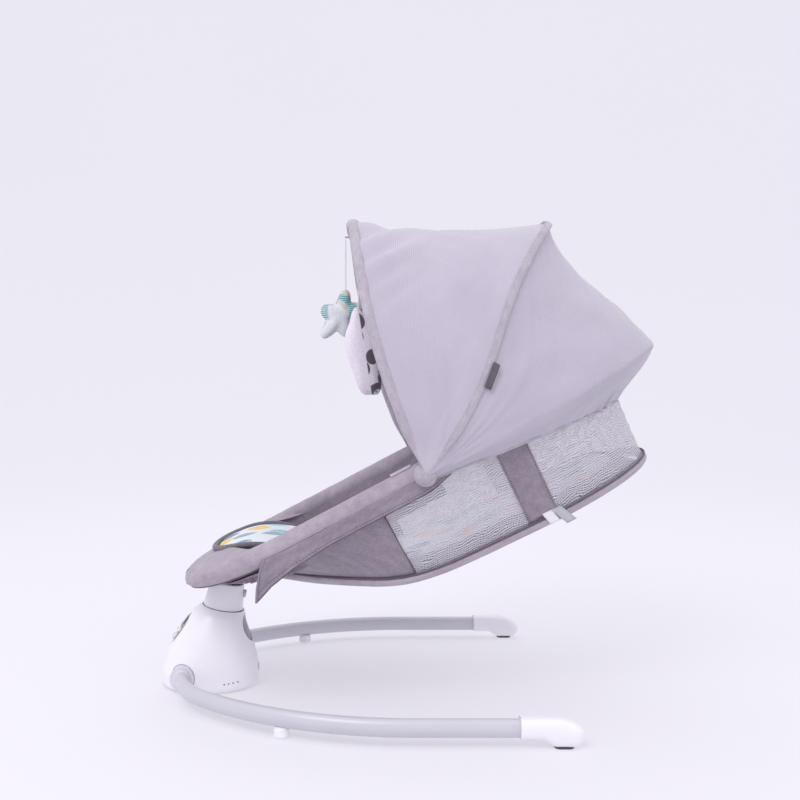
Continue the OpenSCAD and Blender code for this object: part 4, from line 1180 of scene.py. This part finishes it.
def build_toys():
    star = []
    for k in range(100):
        a = 2 * math.pi * k / 100
        r = 34.0 + 8.5 * math.cos(5 * a) + 2.0 * math.sin(2 * a)
        x, z = 0.84 * r * math.sin(a), r * math.cos(a)
        star.append((x - 0.22 * (42.5 - z), z))
    plush_body("star_plush", star, STAR_HOOK - Vector((0, 0, 126)), 26, STAR_PLUSH, "star_toy", "star_toy",
               STAR_HOOK, 86)
    cloud = []
    for k in range(120):
        a = 2 * math.pi * k / 120
        r = 1 + 0.06 * math.cos(5 * a + 0.4) + 0.03 * math.sin(3 * a)
        x, z = 24 * r * math.sin(a), 66 * r * math.cos(a)
        cloud.append((x - 0.16 * z + 8.0, z))
    plush_body("cloud_plush", cloud, CLOUD_HOOK - Vector((0, 0, 192)), 30, CLOUD_PLUSH, "cloud_toy",
               "cloud_toy", CLOUD_HOOK, 128)


# ---- motor tower ----
TOWER_ROWS = (
    (0.000, 0.014, 0.993, 0.970, 0.00), (0.035, 0.000, 1.000, 1.000, 0.00),
    (0.180, 0.000, 1.000, 1.000, 0.00), (0.280, 0.025, 0.993, 0.977, 0.00),
    (0.463, 0.072, 0.952, 0.898, 0.05), (0.620, 0.130, 0.914, 0.812, 0.15),
    (0.716, 0.178, 0.897, 0.750, 0.30), (0.822, 0.247, 0.873, 0.672, 0.50),
    (0.910, 0.310, 0.858, 0.600, 0.75),
    (1.000, (SEAM_X - 31.4) / TOWER_L, (SEAM_X + 31.4) / TOWER_L, 2 * 31.4 / TOWER_W, 1.00))


def tower_row(share):
    near = [max(0.0, min(1.0, share + d)) for d in (-0.03, -0.015, 0, 0.015, 0.03)]
    if share < 0.06 or share > 0.97:
        near = [share]
    values = []
    for k in range(1, 5):
        values.append(sum(at_table([(r[0], r[k]) for r in TOWER_ROWS], s) for s in near) / len(near))
    return values


def tower_point(share, angle, inset=0.0):
    low, high, wide, turn = tower_row(share)
    x0, x1 = low * TOWER_L + inset, high * TOWER_L - inset
    u = (x1 - x0) / 2 * math.cos(angle)
    tilt = turn * LEAN
    return Vector((OX + (x0 + x1) / 2 + u * math.cos(tilt), (wide * TOWER_W / 2 - inset) * math.sin(angle),
                   TOWER_GAP + share * (TOWER_H - TOWER_GAP) - u * math.sin(tilt)))


PANEL_MID = Vector((OX + 0.212 * TOWER_L, 0, TOWER_GAP + 0.725 * (TOWER_H - TOWER_GAP)))
PANEL_OUT = Vector((-math.sin(math.radians(54)), 0, math.cos(math.radians(54))))
PANEL_UP = Vector((math.cos(math.radians(54)), 0, math.sin(math.radians(54))))


def on_panel(across, up, out=0.0):
    return PANEL_MID + Vector((0, -across, 0)) + PANEL_UP * up + PANEL_OUT * out


def cutter(name, base, axis, radii, length, lead):
    """An oval plug along axis from base, for cutting openings in a skin."""
    axis = Vector(axis).normalized()
    lead = Vector(lead).normalized()
    side = axis.cross(lead)
    rings = []
    for d in (0, length):
        rings.append([Vector(base) + axis * d + lead * radii[1] * math.sin(a) + side * radii[0] * math.cos(a)
                      for a in (2 * math.pi * j / 64 for j in range(64))])
    return grid(name, rings, WHITE, None, close_cols=True, caps=True)


def cut_out(piece, tools):
    for tool in tools:
        step = piece.modifiers.new("cut", "BOOLEAN")
        step.object = tool
        step.operation = "DIFFERENCE"
        step.solver = "EXACT"
        apply_all(piece)
        bpy.data.objects.remove(tool)


def build_tower():
    rows = []
    for r in range(73):
        share = r / 72
        rows.append([tower_point(share, 2 * math.pi * j / 120) for j in range(120)])
    shell = grid("tower_shell", rows, WHITE, None, close_cols=True)
    thicken(shell, 2.6, -1.0)
    tools = [cutter("cut_panel", on_panel(0, 0, -14), PANEL_OUT, (27.4, 33.4), 44, PANEL_UP)]
    rear = Vector((OX + 0.863 * TOWER_L, 0, TOWER_GAP + 0.717 * (TOWER_H - TOWER_GAP)))
    out = Vector((math.sin(math.radians(78)), 0, math.cos(math.radians(78))))
    tools.append(cutter("cut_rear", rear - out * 12, out, (20.4, 22.4), 34, Vector((-out.z, 0, out.x))))
    for side in (-1, 1):
        leg_hole = Vector((LEG_ROOT, side * 28, LEG_Z))
        tools.append(cutter("cut_leg", leg_hole, (0, side, 0), (19.2, 19.2), 60, (0, 0, 1)))
        for i in range(4):
            tools.append(cutter("cut_vent", Vector((OX + 0.705 * TOWER_L + 6.4 * i, side * 30, 15 + 0.3 * i)),
                                (0, side, 0), (1.15, 1.15), 60, (0, 0, 1)))
    tools.append(cutter("cut_jack", Vector((OX + TOWER_L - 14, 0, 26)), (1, 0, 0), (6.1, 6.1), 30, (0, 0, 1)))
    cut_out(shell, tools)
    finish_smooth(shell, 32)
    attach(shell, "base")
    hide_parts("front_housing", "rear_housing")


def finish_smooth(piece, angle):
    shade_smooth(piece.data)
    piece.data.set_sharp_from_angle(angle=math.radians(angle))
    return piece


def build_seams():
    """The dark joint between the housings, the ring under the neck and the arches over the sockets."""
    for side in (-1, 1):
        name = side_name(side)
        path = [surface_at(mix(-278.6, -285.0, i / 40), mix(6, 90, i / 40), side) for i in range(41)]
        path += [surface_at(-295 + 10 * math.cos(a), 90 + 10 * math.sin(a), side)
                 for a in (math.pi / 2 * i / 10 for i in range(1, 11))]
        path += [surface_at(mix(-295, -327, i / 24), mix(100, 104, i / 24), side) for i in range(1, 25)]
        tube("housing_seam_" + name, path, 0.42, SEAM_GREY, "base", sides=8)
        arch = []
        for i in range(61):
            a = math.pi * (i / 60)
            x, z = LEG_ROOT + 22.5 * math.cos(a), LEG_Z + 22.5 * math.sin(a)
            arch.append(surface_at(x, z, side))
        tube("socket_arch_" + name, arch, 0.6, PANEL_GREY, "base", sides=8)
    ring = [tower_point(1.0, 2 * math.pi * j / 96, 0.4) for j in range(96)]
    tube("neck_seam", ring, 0.7, PANEL_GREY, "base", closed=True, sides=8)


def surface_at(x, z, side):
    """The tower's side surface above a point of its side view."""
    share = max(0.0, min(1.0, (z - TOWER_GAP) / (TOWER_H - TOWER_GAP)))
    low, high, wide, _ = tower_row(share)
    mid, half = OX + (low + high) / 2 * TOWER_L, (high - low) / 2 * TOWER_L
    c = max(-1.0, min(1.0, (x - mid) / half))
    return Vector((x, side * wide * TOWER_W / 2 * math.sqrt(1 - c * c), z))


def build_neck():
    axis = Vector((math.sin(LEAN), 0, math.cos(LEAN)))
    base = Vector((OX + SEAM_X, 0, TOWER_H)) + axis * 1.2
    profile = [(28.2, 0.8), (29.6, 0.0), (30.9, 0.3), (31.3, 1.2), (31.3, 3.2), (30.7, 4.2)]
    profile += [(mix(30.7, 27.2, i / 14), mix(4.2, 37.5, i / 14)) for i in range(1, 15)]
    profile += [(26.9, 38.8), (26.1, 39.7), (25.0, 39.8), (24.2, 39.2), (24.0, 34.0)]
    neck = lathe("neck_cover", profile, WHITE, None, base, axis, 120, caps=False)
    lead = Vector((axis.z, 0, -axis.x))
    tool = cutter("cut_release", base + axis * 25.8, lead, (6.5, 6.5), 60, axis)
    slot = cutter("cut_slot", base + axis * 26.8 - lead * 60 + axis * 13, lead, (14.4, 13.4), 50, axis)
    cut_out(neck, (tool, slot))
    finish_smooth(neck, 40)
    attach(neck, "swing_head")
    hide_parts("neck_shell")


def build_symbols():
    """Generic raised symbols on the buttons: power, clock, note, minus and plus."""
    spots = {"power_button": (0, -21), "timer_button": (-15, -2), "music_button": (15, -2),
             "slower_button": (-11, -13), "faster_button": (11, -13)}

    def line(name, marks, body, radius=0.28):
        across, up = spots[body]
        out = 4.5 + 2.6
        tube(name, [on_panel(across + a, up + b, out) for a, b in marks], radius, PANEL_GREY, body, sides=8)

    def ring(start, sweep):
        return [(1.9 * math.sin(a), 1.9 * math.cos(a)) for a in (start + sweep * i / 24 for i in range(25))]

    line("power_ring", ring(0.7, 2 * math.pi - 1.4), "power_button")
    line("power_bar", [(0, 0.6), (0, 2.4)], "power_button")
    line("timer_ring", ring(0, 2 * math.pi), "timer_button")
    line("timer_hands", [(0, 1.3), (0, 0), (0.9, -0.5)], "timer_button")
    note = [(-1.1, -1.4), (-0.6, -1.4), (-0.6, 1.6), (1.2, 1.1), (1.2, -1.0), (0.7, -1.0)]
    line("note_stem", note, "music_button")
    line("minus_bar", [(-1.6, 0), (1.6, 0)], "slower_button")
    line("plus_bar_a", [(-1.6, 0), (1.6, 0)], "faster_button")
    line("plus_bar_b", [(0, -1.6), (0, 1.6)], "faster_button")


# ---- legs ----


def leg_plan():
    end = Vector((LEG_STRAIGHT, LEG_HALF_SPAN))

    def wide(a):
        return end + Vector((-LEG_BEND * math.sin(a), -LEG_BEND * (1 - math.cos(a))))

    turn = math.radians(42)
    mid = wide(turn) - LEG_TURN * Vector((-math.sin(turn), math.cos(turn)))

    def tight(a):
        return mid + LEG_TURN * Vector((-math.sin(a), math.cos(a)))

    points = [Vector((tight(math.radians(90)).x, 49.0))]
    points += [tight(math.radians(a)) for a in range(88, 42, -2) if tight(math.radians(a)).y > 53]
    points += [wide(math.radians(a / 2)) for a in range(84, -1, -3)]
    points += [Vector((mix(LEG_STRAIGHT, OX + 528.5, i / 12), LEG_HALF_SPAN)) for i in range(1, 13)]
    return points


def build_legs():
    for side in (-1, 1):
        name = "right" if side > 0 else "left"
        path = [Vector((p.x, p.y * side, LEG_Z)) for p in leg_plan()]

        def shape(i, a):
            ridge = 0.028 * math.exp(-(math.sin(a) / 0.16) ** 2)
            return 1.0 + ridge

        leg = tube("leg_" + name, path, (9.8, 12.3), TUBE, "base", sides=48, shape=shape)
        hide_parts("leg_tube_" + name)
        build_foot(side, name)
        peg_lift = LEG_Z - 12.5
        s = (LEG_STRAIGHT - PEG_X) / LEG_BEND
        y = LEG_HALF_SPAN - LEG_BEND * (1 - math.sqrt(1 - s * s))
        profile = [(8.6, 0.0), (9.6, 0.5), (10.6, 1.9), (11.0, 3.0), (10.8, 3.8), (10.5, 4.2),
                   (10.5, peg_lift - 1.5), (10.2, peg_lift - 0.4), (9.0, peg_lift + 1.8)]
        peg = lathe("peg_" + name, profile, WHITE, "base", (PEG_X, side * y, 0))
        if side > 0:
            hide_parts("support_pegs")
        rows = []
        for d, g in ((0, 1.2), (1.2, 2.4), (5.4, 2.6), (6.4, 1.6), (6.6, 0.4)):
            turns = (2 * math.pi * j / 56 for j in range(56))
            rows.append([Vector((LEG_ROOT + (10 + g) * math.cos(a), side * (65.4 + d),
                                 LEG_Z + (12.5 + g) * math.sin(a))) for a in turns])
        grid("leg_collar_" + name, rows, SOCKET, "base", close_cols=True, caps=True)


def build_foot(side, name):
    """A boot over the leg's end: its sole steps down to the floor, and its toe is rounded."""
    rows = []
    start, length = OX + 516.5, 84.0
    for i in range(72):
        along = length * math.sin(math.pi / 2 * i / 71)
        a = math.acos(max(-1.0, min(1.0, (along - 36) / 48))) if along > 36 else math.pi / 2
        top = 39.9 - 37.9 * (1 - math.sin(a)) / 1.643
        low = mix(11.5, 2.0, smooth_step((along - 26) / 22))
        if a < math.radians(40):
            low = 39.9 - 37.9 * (1 + math.sin(a)) / 1.643
        half = 13.9 * math.sqrt(max(0.0, 1 - max(0.0, (along - 68) / 16.4) ** 2))
        if i == 0:
            half, top, low = 13.2, 39.2, 12.2
        row = []
        for j in range(40):
            turn = 2 * math.pi * j / 40
            c, sn = math.cos(turn), math.sin(turn)
            row.append(Vector((start + along, side * LEG_HALF_SPAN + half * signed_power(c, 0.72),
                               (top + low) / 2 + (top - low) / 2 * signed_power(sn, 0.78))))
        rows.append(row)
    boot = grid("foot_" + name, rows, WHITE, "base", close_cols=True, caps=True)
    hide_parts("foot_cap_" + name)
    ring = []
    for j in range(60):
        a = 2 * math.pi * j / 60
        ring.append(Vector((start + 0.4, side * LEG_HALF_SPAN + 12.4 * signed_power(math.cos(a), 0.8),
                            25.7 + 13.3 * signed_power(math.sin(a), 0.85))))
    tube("foot_seam_" + name, ring, 0.5, PANEL_GREY, "base", closed=True, sides=8)


# ---- finishes for the CAD pieces that are kept ----
FINISH = {
    "control_panel": PANEL_GREY, "rear_panel": PANEL_GREY, "display_lens": BLACK, "leg_sockets": SOCKET,
    "base_plate": PALE, "battery_cover": PALE, "battery_tray": PANEL_GREY, "battery_cells": COPPER,
    "bearing_frame": STEEL, "upper_bearing": STEEL, "lower_bearing": STEEL, "drive_coil": COPPER,
    "circuit_board": GREEN, "speaker": BLACK, "power_jack": BLACK, "foot_pads": RUBBER, "tower_pads": RUBBER,
    "housing_screws": STEEL, "power_button": WHITE, "timer_button": WHITE, "music_button": WHITE,
    "slower_button": WHITE, "faster_button": WHITE, "swing_shaft": STEEL, "magnet_arm": PANEL_GREY,
    "drive_magnet": STEEL, "seat_yoke": PANEL_GREY, "recline_pin": STEEL, "recline_button": PALE,
    "seat_bracket": PANEL_GREY, "rim_tube": TUBE, "harness_buckle": PALE, "buckle_button": RED,
    "canopy_brackets": PALE, "rear_hoop": WIRE, "mid_hoop": WIRE, "front_hoop": WIRE,
}


def finish_nodes():
    for name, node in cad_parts.items():
        if name in FINISH:
            node.data.materials.clear()
            node.data.materials.append(FINISH[name])
            finish_smooth(node, 35)


def build_stage():
    """A plain pale floor that curves up into a backdrop all round."""
    profile = [(0.01, 0), (3000, 0), (3700, 60), (4400, 320), (5000, 850), (5400, 1600), (5600, 2600),
               (5650, 4200)]
    bowl = lathe("floor", profile, FLOOR, None, (0, 0, 0), sides=96, caps=False)
    smooth = bowl.modifiers.new("smooth", "SUBSURF")
    smooth.levels = smooth.render_levels = 2
    apply_all(bowl)
    shade_smooth(bowl.data)


bpy.context.scene.view_settings.view_transform = "Standard"
add_camera()
add_world()
add_light("key", (-1.3, -2.0, 2.6), (0, 0, 0.3), 1.6, 34, (1.0, 0.985, 1.0))
add_light("fill", (2.2, -1.6, 1.8), (0, 0, 0.35), 2.4, 7, (0.96, 0.96, 1.0))
add_light("back", (0, 1.6, 3.6), (0, 5.6, 1.2), 3.0, 8, (1.0, 0.99, 1.0))
add_light("top", (0.3, 0.9, 3.0), (0, 0, 0.3), 2.6, 12, (1.0, 0.99, 1.0))
finish_nodes()
build_toys()
build_tower()
build_seams()
build_neck()
build_symbols()
build_legs()
build_rim()
build_sling()
build_hood()
build_skirts()
build_side_mesh()
build_floor_roll()
build_board()
build_liner()
build_harness()
build_canopy()
build_straps()
build_rim_tab()
build_stage()
